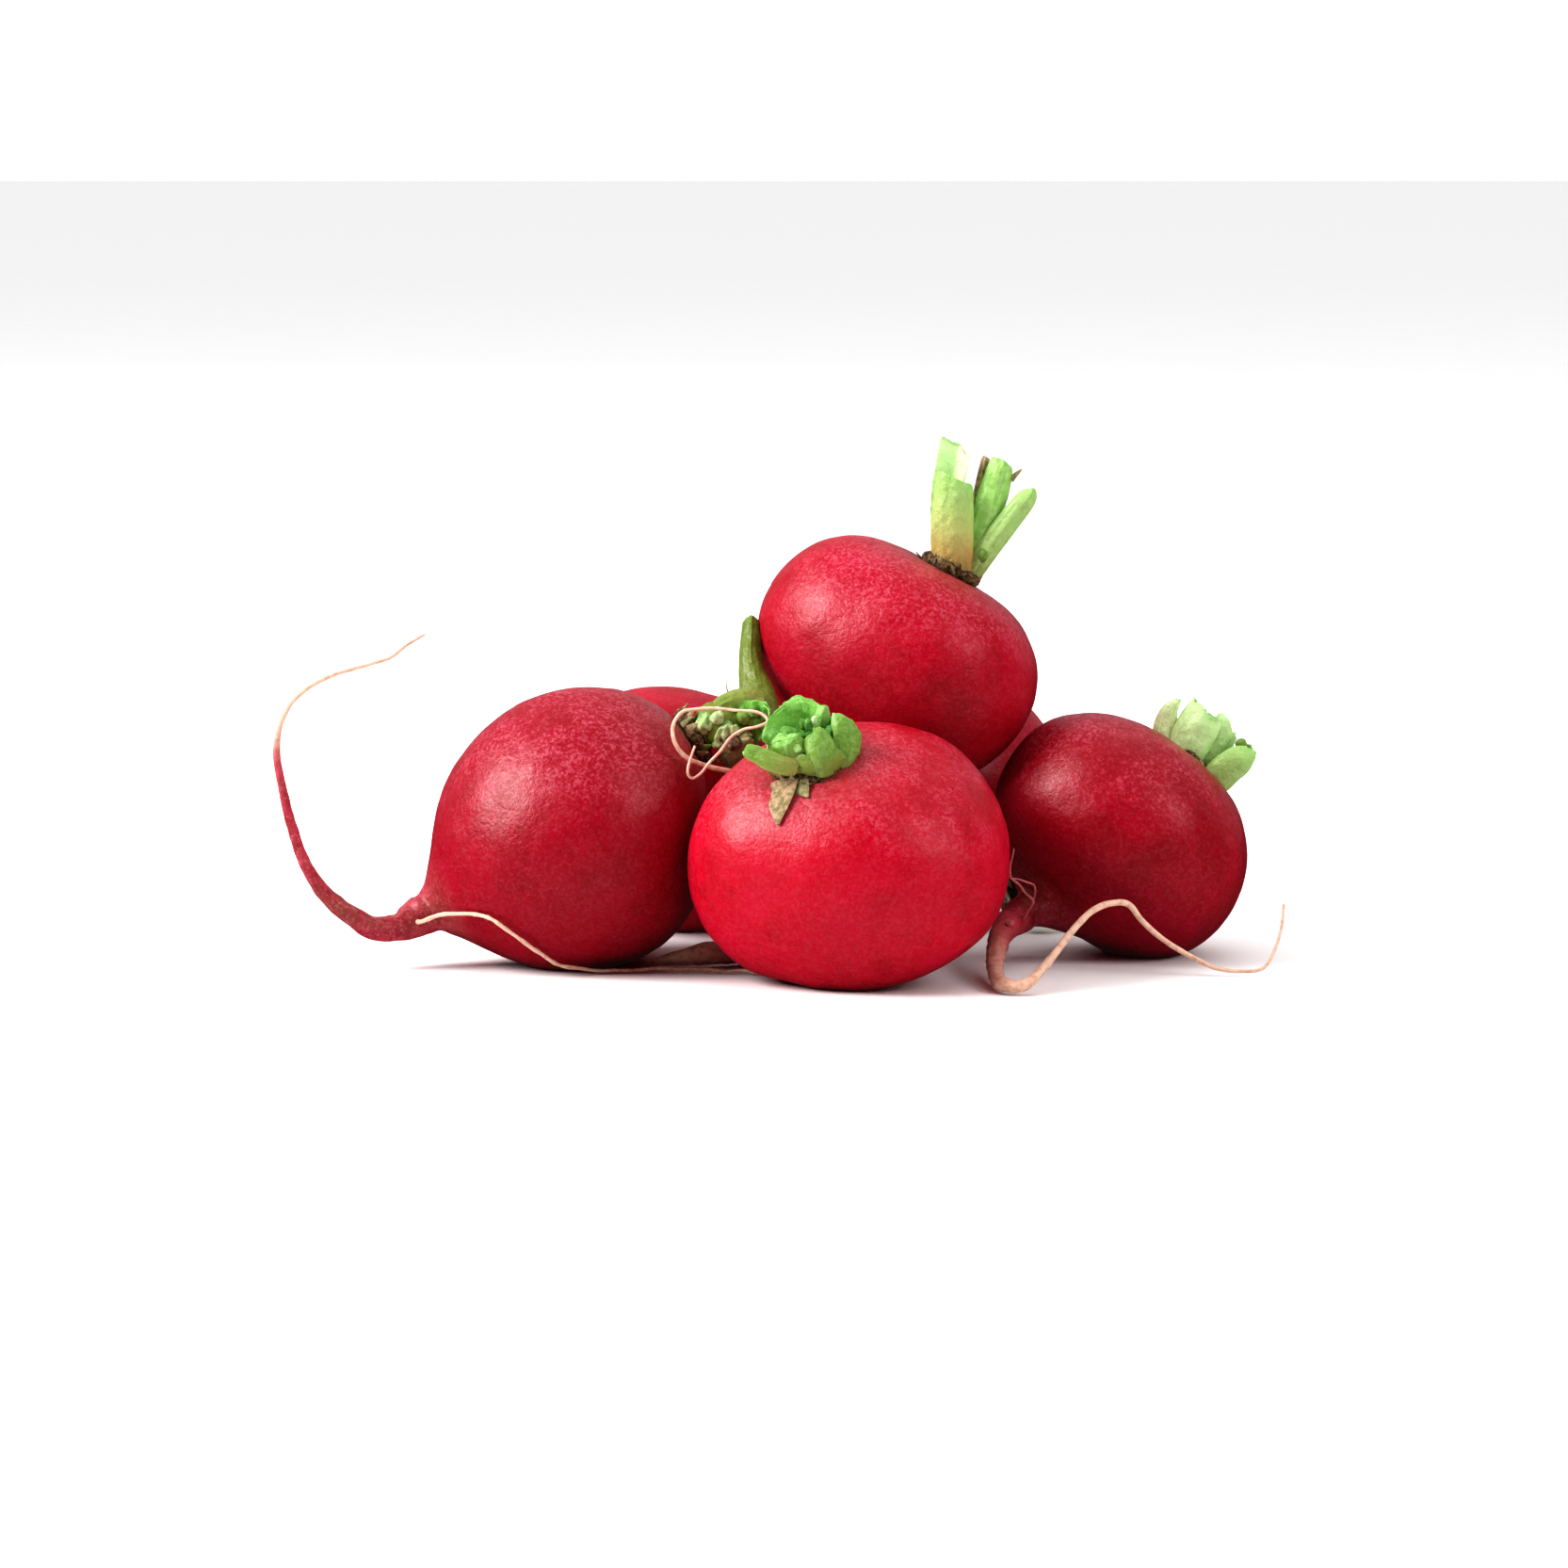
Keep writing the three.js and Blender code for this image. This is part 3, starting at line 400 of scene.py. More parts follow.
def smooth_path(points, step):
    """A centripetal Catmull-Rom path through points, each (x, y, z, thickness), in even steps.

    Returns the places, their thickness, and how far along the path each one is.
    """
    rows = np.asarray(points, float)
    rows = np.vstack([2 * rows[0] - rows[1], rows, 2 * rows[-1] - rows[-2]])
    places = []
    for i in range(1, len(rows) - 2):
        before, here, after, later = rows[i - 1 : i + 3, :3]
        pairs = ((before, here), (here, after), (after, later))
        gaps = [math.sqrt(np.linalg.norm(second - first)) for first, second in pairs]
        leave = (here - before) / gaps[0] - (after - before) / (gaps[0] + gaps[1])
        leave = (leave + (after - here) / gaps[1]) * gaps[1]
        arrive = (after - here) / gaps[1] - (later - here) / (gaps[1] + gaps[2])
        arrive = (arrive + (later - after) / gaps[2]) * gaps[1]
        for t in np.linspace(0, 1, CURVE_STEPS, endpoint=False):
            place = (2 * t**3 - 3 * t**2 + 1) * here + (t**3 - 2 * t**2 + t) * leave
            place = place + (3 * t**2 - 2 * t**3) * after + (t**3 - t**2) * arrive
            places.append([*place, mix(rows[i, 3], rows[i + 1, 3], t)])
    places.append(rows[-2])
    places = np.array(places)
    far = np.concatenate([[0], np.cumsum(np.linalg.norm(np.diff(places[:, :3], axis=0), axis=1))])
    even = np.linspace(0, far[-1], max(3, math.ceil(far[-1] / step) + 1))
    spread = np.stack([np.interp(even, far, places[:, k]) for k in range(4)], 1)
    return spread[:, :3], spread[:, 3], even


def frames_on(places, front):
    """Two directions across a path at each of its places, that don't twist along it."""
    along = np.gradient(places, axis=0)
    along /= np.linalg.norm(along, axis=1, keepdims=True)
    fronts = []
    for way in along:
        front = unit(front - way * (front @ way))
        fronts.append(front)
    fronts = np.array(fronts)
    return along, fronts, np.cross(fronts, along)


def ring_faces(first, count, second, next_count):
    """Faces between two rings. The second has as many points as the first, or half as many."""
    near = np.arange(next_count)
    turned = (near + 1) % next_count
    low, high = second + near, second + turned
    if next_count == count:
        return np.stack([first + near, low, high, first + turned], 1).tolist()
    left, middle, right = first + 2 * near, first + 2 * near + 1, first + (2 * near + 2) % count
    faces = ((left, low, middle), (middle, low, high), (middle, high, right))
    return np.concatenate([np.stack(face, 1) for face in faces]).tolist()


def loft(rings, start, end, values):
    """A closed surface over rings of points, with a point at each end.

    values gives each point's numbers by name: one for each ring, or one for each point of it.
    """
    counts = [len(ring) for ring in rings]
    firsts = 1 + np.concatenate([[0], np.cumsum(counts)])
    points = np.vstack([[start], *rings, [end]])
    turn = np.arange(counts[0])
    faces = np.stack([0 * turn, 1 + turn, 1 + (turn + 1) % counts[0]], 1).tolist()
    for i in range(len(rings) - 1):
        faces += ring_faces(firsts[i], counts[i], firsts[i + 1], counts[i + 1])
    turn = np.arange(counts[-1])
    last, tail = len(points) - 1, firsts[-2]
    faces += np.stack([0 * turn + last, tail + (turn + 1) % counts[-1], tail + turn], 1).tolist()
    numbers = {}
    for name, given in values.items():
        spread = [np.broadcast_to(value, (count,)) for value, count in zip(given, counts)]
        numbers[name] = np.concatenate([spread[0][:1], *spread, spread[-1][:1]])
    return points, faces, numbers


def make_piece(name, parts, material, node, crease=40):
    """One mesh object from closed surfaces, which rides on the bunch and stands for a CAD node."""
    points, faces, numbers = [], [], {}
    total = 0
    for part_points, part_faces, part_numbers in parts:
        corners = np.array([part_points[face[:3]] for face in part_faces])
        volume = np.einsum("ij,ij->i", corners[:, 0], np.cross(corners[:, 1], corners[:, 2])).sum()
        inside_out = volume < 0
        for face in part_faces:
            face = [total + corner for corner in face]
            faces.append(face[::-1] if inside_out else face)
        points.append(part_points)
        for key, given in part_numbers.items():
            numbers.setdefault(key, []).append(given)
        total += len(part_points)
    points = (np.vstack(points) - MIDDLE) / 1000
    mesh = bpy.data.meshes.new(name)
    mesh.from_pydata(points.tolist(), [], faces)
    for key, given in numbers.items():
        attribute = mesh.attributes.new(key, "FLOAT", "POINT")
        attribute.data.foreach_set("value", np.concatenate(given).astype(np.float32))
    mesh.polygons.foreach_set("use_smooth", [True] * len(mesh.polygons))
    mesh.set_sharp_from_angle(angle=math.radians(crease))
    mesh.materials.append(material)
    made = bpy.data.objects.new(name, mesh)
    bpy.context.scene.collection.objects.link(made)
    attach(made, "root")
    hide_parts(node)


# ---------------------------------------------------------------- bulbs and roots


def rotated(vector, axis, angle):
    """A vector turned about an axis by an angle."""
    across = np.cross(axis, vector)
    turned = vector * math.cos(angle) + across * math.sin(angle)
    return turned + axis * (axis @ vector) * (1 - math.cos(angle))


def outline(radish, angle):
    """The bulb's outline at an angle from its crown, 0, to its root end, pi.

    Gives how far out it is as a share of the half width, how far along the axis, and how far it
    slides towards that end.
    """
    if angle < math.pi / 2:
        along = math.cos(angle)
        return math.sin(angle) ** radish["shoulder"], along, along**2
    down = min(angle / (math.pi / 2) - 1, 1)
    out = max(math.cos(down * math.pi / 2), 0) ** (radish["hip"] + WAIST * down**4)
    along = (1 - TAPER) * math.sin(down * math.pi / 2) + TAPER * down ** radish["taper"]
    return out, -along, down**4


def root_grid(radish):
    """Rings of points down the bulb and along its tap root, all of the same number.

    Gives the rings, each ring's radius, and how far down the root it is.
    """
    axis, front, side = frame_along(radish["axis"])
    centre = np.array(radish["centre"], float)
    root_end = np.array(radish["root_end"])
    to_crown = np.array(radish["crown"]) - centre
    to_root = root_end - centre
    crown_slide = to_crown - axis * (to_crown @ axis)
    root_slide = to_root - axis * (to_root @ axis)
    tap_root = radish["roots"][0]
    neck = tap_root[0][3] / 2
    level, deep = (width / 2 for width in radish["across"])
    lobe, lobe_turn = radish["lobe"]

    inside = root_end + axis * 3
    places, thick, _ = smooth_path([(*inside, tap_root[0][3]), *tap_root], ROOT_STEP)
    leaving = np.argmin(np.linalg.norm(places - root_end, axis=1))
    places, thick = places[leaving:], thick[leaving:]
    way = unit(places[1] - places[0])
    hinge = unit(np.cross(-axis, way))
    bend = math.acos(np.clip(-axis @ way, -1, 1))

    turn = around(BULB_SIDES)
    rings, radii, middles = [], [], []
    for i in range(1, BULB_RINGS + 1):
        angle = math.pi * i / BULB_RINGS
        out, along, slide = outline(radish, angle)
        dip = DIMPLE * math.exp(-((out / DIMPLE_WIDTH) ** 2))
        if along > 0:
            middle = centre + axis * ((to_crown @ axis + DIMPLE) * along - dip) + crown_slide * slide
            least = 0
        else:
            middle = centre - axis * (to_root @ axis) * along + root_slide * slide
            least = neck
        share = out * (1 + lobe * np.cos(3 * turn + math.radians(lobe_turn)))
        forward = mix(least, deep, share) * np.cos(turn)
        sideways = mix(least, level, share) * np.sin(turn)
        tilt = bend * smooth(angle / math.pi, BEND_START, 1)
        ahead, beside = rotated(front, hinge, tilt), rotated(side, hinge, tilt)
        rings.append(middle + forward[:, None] * ahead + sideways[:, None] * beside)
        radii.append(mix(least, (deep + level) / 2, out))
        middles.append(middle)

    _, fronts, sides = frames_on(places, rotated(front, hinge, bend))
    for place, radius, ahead, beside in list(zip(places, thick / 2, fronts, sides))[1:]:
        rings.append(place + radius * circle(turn, ahead, beside))
        radii.append(radius)
        middles.append(place)
    gaps = np.linalg.norm(np.diff(middles, axis=0), axis=1)
    return np.array(rings), np.array(radii), np.concatenate([[0], np.cumsum(gaps)])


def grown(grid, radii, down, seed, wrinkled):
    """The grid with the swellings, pleats and wrinkles of a real root.

    Also gives how far each point is from the crown, and how much its skin faces up.
    """
    along = np.gradient(grid, axis=0)
    across = np.roll(grid, -1, axis=1) - np.roll(grid, 1, axis=1)
    normals = np.cross(along, across)
    normals /= np.maximum(np.linalg.norm(normals, axis=2, keepdims=True), 1e-9)
    turn, depth = np.meshgrid(around(BULB_SIDES), down)
    radius = np.broadcast_to(radii[:, None], turn.shape)
    from_crown = np.linalg.norm(grid - grid[0].mean(axis=0), axis=2)

    height = uneven(grid, seed, *SWELLINGS) * smooth(radius, 0.6, 9)
    on_skin = [from_crown * 0.16, 3 * np.cos(turn), 3 * np.sin(turn)]
    pleats = lumps(np.stack(on_skin, 2), 1.7, seed + 3)
    height += PLEAT * pleats * np.exp(-((from_crown / PLEAT_REACH) ** 2))
    rings = [depth, 2.2 * np.cos(turn), 2.2 * np.sin(turn)]
    wrinkles = lumps(np.stack(rings, 2), 2.8, seed + 4)
    near_tail = smooth(-radius, -6.5, -2) * (depth > down[BULB_RINGS // 2])
    height += wrinkled * wrinkles * near_tail * np.minimum(radius, 2.2) / 2.2
    outside = np.sign(((grid - grid.mean(axis=1, keepdims=True)) * normals).sum(axis=2))
    return grid + normals * height[:, :, None], from_crown, normals[:, :, 2] * outside


def root_surface(radish, seed):
    """The bulb and its tap root as one surface, flat where it lies on the table."""
    grid, radii, down = root_grid(radish)
    grid, from_crown, facing_up = grown(grid, radii, down, seed, radish["wrinkled"])
    grid[:, :, 2] = np.maximum(grid[:, :, 2], 0)
    count = BULB_SIDES
    rings, distances, uppers = [], [], []
    for i, ring in enumerate(grid):
        wanted = BULB_SIDES
        if i >= BULB_RINGS:
            wanted = next(sides for least, sides in ROOT_SIDES if radii[i] > least)
        count = max(wanted, count // 2) if wanted < count else count
        step = BULB_SIDES // count
        rings.append(ring[::step])
        distances.append(from_crown[i, ::step])
        # How much the skin faces up, times the radish's own share, sets its upper flecks: partly its own
        # flecks, partly a painted reflection of the light overhead.
        uppers.append(smooth(facing_up[i, ::step], -0.05, 0.75) * radish.get("flecks_and_sheen", 1))
    pale = 1 - smooth(2 * radii, *radish["pale_between"])
    tail = smooth(-radii, -8.5, -1.8) * (np.arange(len(radii)) > BULB_RINGS / 2)
    # Each radish's red is multiplied by its own share: its own deeper or brighter red, and on the rear bulbs
    # painted light and shade.
    tint_and_shade = [radish["tint_and_shade"]] * len(rings)
    values = dict(from_crown=distances, upper=uppers, pale=pale, tail=tail, tint_and_shade=tint_and_shade)
    return loft(rings, grid[0].mean(axis=0), grid[-1].mean(axis=0), values)


def rootlet(points, seed):
    """A thin root along its points, with the small kinks of a real one."""
    places, thick, far = smooth_path(points, HAIR_STEP)
    _, fronts, sides = frames_on(places, np.array([0.3, -0.5, 0.8]))
    line = np.stack([far, 0 * far, 0 * far], 1)
    stray = KINK * smooth(far, 0, 3)
    places = places + fronts * (stray * lumps(line, 5, seed))[:, None]
    places = places + sides * (stray * lumps(line, 5, seed + 1))[:, None]
    turn = around(HAIR_SIDES)
    across = np.cos(turn)[None, :, None] * fronts[:, None] + np.sin(turn)[None, :, None] * sides[:, None]
    rings = places[:, None] + across * (thick / 2 * (1 + 0.1 * lumps(line, 1.5, seed + 2)))[:, None, None]
    rings[:, :, 2] = np.maximum(rings[:, :, 2], 0.02)
    same = np.ones(len(places))
    pale = 1 if far[-1] > HAIR_LENGTH else 0.5
    values = dict(from_crown=40 * same, upper=0 * same, pale=pale * same, tail=same, tint_and_shade=same)
    return loft(list(rings), places[0], places[-1], values)


# ---------------------------------------------------------------- crowns and leaf stalks


def crown_middle(radish):
    return np.array(radish["crown"]) + unit(radish["axis"]) * radish["crown_rise"]


def outward_in(turn, front, side):
    return front * math.cos(math.radians(turn)) + side * math.sin(math.radians(turn))


def green_values(look, ups, cuts, inners, grains):
    """The numbers that paint one piece of stalk, with the place of its grain on every point."""
    values = dict(up=ups, cut=cuts, inner=inners)
    for name, number in zip(LOOK_NUMBERS, LOOKS[look]):
        values[name] = [number] * len(grains)
    for k, name in enumerate(("grain_x", "grain_y", "grain_z")):
        values[name] = [grain[:, k] for grain in grains]
    return values


def stalk(shape, seed):
    """A cut leaf stalk along its path: ribbed on its face, scooped behind, with a wet cut at its end."""
    shape = {**PLAIN_STALK, **shape}
    thick = shape["thick"]
    places, widths, far = smooth_path(shape["path"], STALK_STEP)
    length = far[-1]
    along, faces, across = frames_on(places, np.array(shape["face"], float))
    turn = around(STALK_SIDES)
    wide, high = np.cos(turn), np.sin(turn)
    scoop = np.where(high < 0, 1 - shape["hollow"] * high**2, 1)
    ribs = 0.06 * np.cos(9 * turn + seed) + 0.04 * np.cos(17 * turn + 2 * seed)
    ribs = ribs * np.maximum(high, 0)
    lean = shape["slant"] * wide - shape["dome"] * wide**2
    mirror = -np.arange(STALK_SIDES) % STALK_SIDES
    rings, ups, grains = [], [], []
    for i, (middle, width, d) in enumerate(zip(places, widths, far)):
        near_end = np.clip(1 - (length - d) / thick, 0, 1)
        shrink = 1 - shape["soft"] * (1 - math.sqrt(1 - 0.96 * near_end**2))
        half = width / 2 - (1 - shrink) * thick / 3
        ring = middle + (half * wide)[:, None] * across[i]
        ring += ((shrink * thick / 2 + ribs) * high * scoop - shape["cup"] * wide**2)[:, None] * faces[i]
        ring += (lean * smooth(d, 0.3 * length, length))[:, None] * along[i]
        rings.append(ring)
        ups.append(d / length)
        grains.append(np.stack([half * wide, thick / 2 * high, d + 0 * wide], 1) + 20 * seed)
    rings = np.array(rings)
    away = rings - 0.5 * (rings + rings[:, mirror])
    away /= np.maximum(np.linalg.norm(away, axis=2, keepdims=True), 0.2)
    swollen = shape["lumpy"] * uneven(rings, seed, (0.1, 4), (0.06, 1.5))
    rings = rings + away * swollen[:, :, None]
    ragged = uneven(rings[-1], seed + 2, (0.2, 2.2), (0.1, 0.9)) * shape["ragged"]
    for i, d in enumerate(far):
        rings[i] += (ragged * smooth(d, length - 2.5, length))[:, None] * along[i]

    rings, edge = list(rings), rings[-1]
    spine = 0.5 * (edge + edge[mirror])
    cuts = [0.5 * float(smooth(d, length - 0.7, length)) for d in far]
    for share, depth in CUT_DEPTHS:
        inward = mix(spine, edge, share)
        rough = 0.05 * lumps(inward, 0.8, seed + 4)
        rings.append(inward - along[-1] * (depth + rough)[:, None])
        cuts.append(1.0)
        grains.append(grains[-1])
        ups.append(1.0)
    quarter = STALK_SIDES // 4
    foot, end = (0.5 * (ring[quarter] + ring[3 * quarter]) for ring in (rings[0], rings[-1]))
    inner = smooth(-high, -0.2, 0.3)
    return loft(rings, foot, end, green_values(shape["look"], ups, cuts, [inner] * len(rings), grains))


def standing_stalk(radish, turn, lean, length, foot=5, tip=4, thick=2.6, bow=0, look="green"):
    """A stalk that rises from the crown's rim at a turn from its front, in the way stalk takes it."""
    axis, front, side = frame_along(radish["stalks_to"])
    outward = outward_in(turn, front, side)
    _, crown_front, crown_side = frame_along(radish["axis"])
    rim = radish["crown_width"] / 2 - INSET * thick
    start = crown_middle(radish) + outward_in(turn, crown_front, crown_side) * rim
    along = axis * math.cos(math.radians(lean)) + outward * math.sin(math.radians(lean))
    out = np.cross(np.cross(axis, outward), along)
    path = []
    for t in (0, 0.33, 0.67, 1):
        path.append((*(start + along * length * t + out * bow * t * t), mix(foot, tip, t)))
    return dict(path=path, face=out, thick=thick, look=look)


def blade(start, along, out, length, width, thick, look, curl, seed):
    """A thin pointed scale or shred: a flat oval section that narrows and curls to its tip."""
    along = unit(along)
    out = unit(out - along * (np.asarray(out) @ along))
    across = np.cross(along, out)
    turn = around(BLADE_SIDES)
    rings, ups, grains = [], [], []
    for t in np.linspace(0, 1, BLADE_RINGS):
        half = width / 2 * mix(1 - t**1.5, 1, BLADE_TIP) * (1 + 0.1 * math.sin(5 * t + seed))
        forward = along * length * (t - curl * curl * t**3 / 6)
        middle = np.asarray(start) + forward + out * length * curl * t * t / 2
        ring = middle + (half * np.cos(turn))[:, None] * across
        rings.append(ring + (thick / 2 * mix(1, 0.4, t) * np.sin(turn))[:, None] * out)
        ups.append(t)
        grains.append(np.stack([half * np.cos(turn), np.sin(turn), 0 * turn + length * t], 1) + 20 * seed)
    none = [0.0] * BLADE_RINGS
    values = green_values(look, ups, none, none, grains)
    return loft(rings, rings[0].mean(axis=0), rings[-1].mean(axis=0), values)


def knob(middle, way, height, width, look, seed, rough=0.1, flat=0.5):
    """A low lumpy knob: an oval that stands along way, more flat-topped as flat gets smaller."""
    axis, front, side = frame_along(way)
    turn = around(KNOB_SIDES)
    outward = circle(turn, front, side)
    lobed = 1 + 0.06 * np.cos(3 * turn + seed) + 0.05 * np.cos(5 * turn + 1)
    rings, grains = [], []
    for i in range(1, KNOB_RINGS):
        angle = math.pi * i / KNOB_RINGS
        reach = width * math.sin(angle) ** flat * lobed
        ring = np.asarray(middle) + axis * height * math.cos(angle) + reach[:, None] * outward
        bumps = rough * uneven(ring, seed, (1, 2.4), (0.6, 1))
        ring = ring + outward * (bumps * math.sin(angle))[:, None] + axis * (bumps * 0.5)[:, None]
        rings.append(ring)
        grains.append(np.stack([5 * turn, 0 * turn + i, 0.3 * reach], 1) + 20 * seed)
    none = [0.0] * len(rings)
    values = green_values(look, [0.5] * len(rings), none, none, grains)
    return loft(rings, middle + axis * height, middle - axis * height, values)


def collar(radish, seed):
    """The corky crown with the torn scales of old leaves round its rim."""
    axis, front, side = frame_along(radish["axis"])
    middle, width = crown_middle(radish), radish["crown_width"] / 2
    parts = [knob(middle, radish["axis"], CROWN_HEIGHT, width, "cork", seed, 0.16)]
    dice = np.random.default_rng(seed)
    for i in range(SCALES):
        turn = 360 * (i + dice.uniform(-0.4, 0.4)) / SCALES
        outward = outward_in(turn, front, side)
        start = middle + outward * width * dice.uniform(0.82, 0.98)
        start = start - axis * dice.uniform(-0.5, 0.7)
        rise = dice.uniform(0.3, 2.0)
        along, out = outward + axis * rise, axis - outward * rise
        look = ("cork", "dry", "husk", "olive")[dice.integers(4)]
        length, wide = dice.uniform(0.9, 2.0) * radish.get("scales", 1), dice.uniform(0.9, 1.9)
        parts.append(blade(start, along, out, length, wide, SCALE_THICK, look, 0.5, seed + i))
    for shred in radish.get("shreds", []):
        parts.append(blade(*shred, seed))
    return parts


def stalk_cluster(radish, seed):
    """All the cut stalks of one crown, round a low green bud."""
    middle, width = crown_middle(radish), radish["crown_width"]
    parts = [knob(middle, radish["axis"], CROWN_HEIGHT + 1, width * BUD_WIDTH, "bud", seed)]
    for i, shape in enumerate(radish["stalks"]):
        if "path" not in shape:
            shape = standing_stalk(radish, **shape)
        parts.append(stalk(shape, seed + 7 * i))
    for i, (place, way, height, width, look) in enumerate(radish.get("knobs", [])):
        parts.append(knob(np.array(place), way, height, width, look, seed + 3 * i, 0.12, 0.8))
    return parts


# ---------------------------------------------------------------- materials


class Paint:
    """A short way to write the nodes of a material or the world. Sizes are in millimetres."""

    def __init__(self, owner):
        owner.use_nodes = True
        self.owner, self.tree = owner, owner.node_tree
        self.place = self.add("TexCoord").outputs["Object"]

    def plug(self, socket, value):
        if isinstance(value, bpy.types.NodeSocket):
            self.tree.links.new(value, socket)
        elif socket.type == "RGBA":
            socket.default_value = (*value, 1)
        else:
            socket.default_value = value

    def add(self, kind, inputs=(), **settings):
        """A new node, with its settings and what is plugged into its inputs."""
        node = self.tree.nodes.new(f"ShaderNode{kind}")
        for name, value in settings.items():
            setattr(node, name, value)
        for key, value in dict(inputs).items():
            self.plug(node.inputs[key], value)
        return node

    def noise(self, size, detail=2.0, roughness=0.5, place=None, offset=0.0):
        scale = (1000 if place is None else 1) / size
        place = place or self.place
        inputs = dict(Vector=place, W=offset, Scale=scale, Detail=detail, Roughness=roughness)
        return self.add("TexNoise", inputs, noise_dimensions="4D").outputs["Fac"]

    def number(self, name):
        return self.add("Attribute", attribute_name=name).outputs["Fac"]

    def math(self, operation, first, second, clamp=False):
        return self.add("Math", enumerate((first, second)), operation=operation, use_clamp=clamp).outputs[0]

    def times(self, first, second):
        return self.math("MULTIPLY", first, second)

    def rise(self, value, start, end, low=0.0, high=1.0):
        """A smooth rise from low to high while value goes from start to end."""
        inputs = enumerate((value, start, end, low, high))
        return self.add("MapRange", inputs, interpolation_type="SMOOTHSTEP").outputs[0]

    def mix(self, share, first, second, blend="MIX"):
        inputs = dict(Factor=share, A=first, B=second)
        return self.add("Mix", inputs, data_type="RGBA", blend_type=blend).outputs["Result"]

    def join(self, *parts):
        return self.add("CombineXYZ", enumerate(parts)).outputs[0]

    def bump(self, height, depth, *below):
        """Relief that is depth millimetres deep, on top of the relief below it."""
        inputs = [("Strength", 1.0), ("Distance", depth / 1000), ("Height", height)]
        inputs += [("Normal", relief) for relief in below]
        return self.add("Bump", inputs).outputs[0]

    def finish(self, **sockets):
        surface = self.tree.nodes["Principled BSDF"]
        for name, value in sockets.items():
            self.plug(surface.inputs[name.replace("_", " ")], value)
        return self.owner


# The skin: its three reds, its flecks and its parts near the crown. The flecks are strongest where the skin
# faces up, so they are partly its own flecks and partly a painted reflection of the light overhead.
DEEP = (0.31, 0.0, 0.011)
CRIMSON = (0.37, 0.0, 0.018)
ROSE = (0.42, 0.002, 0.032)
PALE_FLECK = (0.52, 0.12, 0.16)
DARK_FLECK = (0.24, 0, 0.012)
LEAST_FLECKED = 0.2  # how flecked even its underside is
# Greyer near the crown: partly the skin's own duller colour, partly a painted sheen.
DUSKY = (0.3, 0.065, 0.066)
CROWN_EDGE = (0.26, 0.15, 0.07)

# The tail: patches over the red, and the pink and cream it turns to.
PINK_PATCH = (0.48, 0.07, 0.1)
EARTH = (0.2, 0.06, 0.035)
LIGHT_SPOT = (0.62, 0.26, 0.26)
BLOTCH = (0.19, 0.014, 0.02)
PINK = (0.68, 0.13, 0.17)
CREAM = (0.76, 0.52, 0.4)
DARK_CREAM = (0.56, 0.3, 0.2)

# The stalks. MOTTLE and SPOT multiply the green, and the pairs are each mixed in a fine grain.
PALE_GREEN = (0.8, 0.98, 0.58)
MIDDLE_GREEN = (0.35, 0.58, 0.17)
DEEP_GREEN = (0.05, 0.28, 0.02)
MOTTLE = (0.7, 0.84, 0.6)
STREAK = (0.62, 0.8, 0.42)
SPOT = (0.5, 0.74, 0.4)
# A brighter green for the scooped inner side of a stalk, which lies in shade: painted light, standing in for
# light through the tissue.
INNER_LIT_GREEN = (0.42, 0.86, 0.2)
OLIVE = (0.15, 0.175, 0.014)
TAN = (0.5, 0.44, 0.16)
RUST = (0.46, 0.2, 0.06)
FOOT = (0.2, 0.2, 0.06)
PULP = ((0.12, 0.38, 0.06), (0.36, 0.62, 0.2))
BROWN = ((0.035, 0.02, 0.01), (0.22, 0.13, 0.06))
HUSK = ((0.5, 0.31, 0.21), (0.2, 0.15, 0.07))


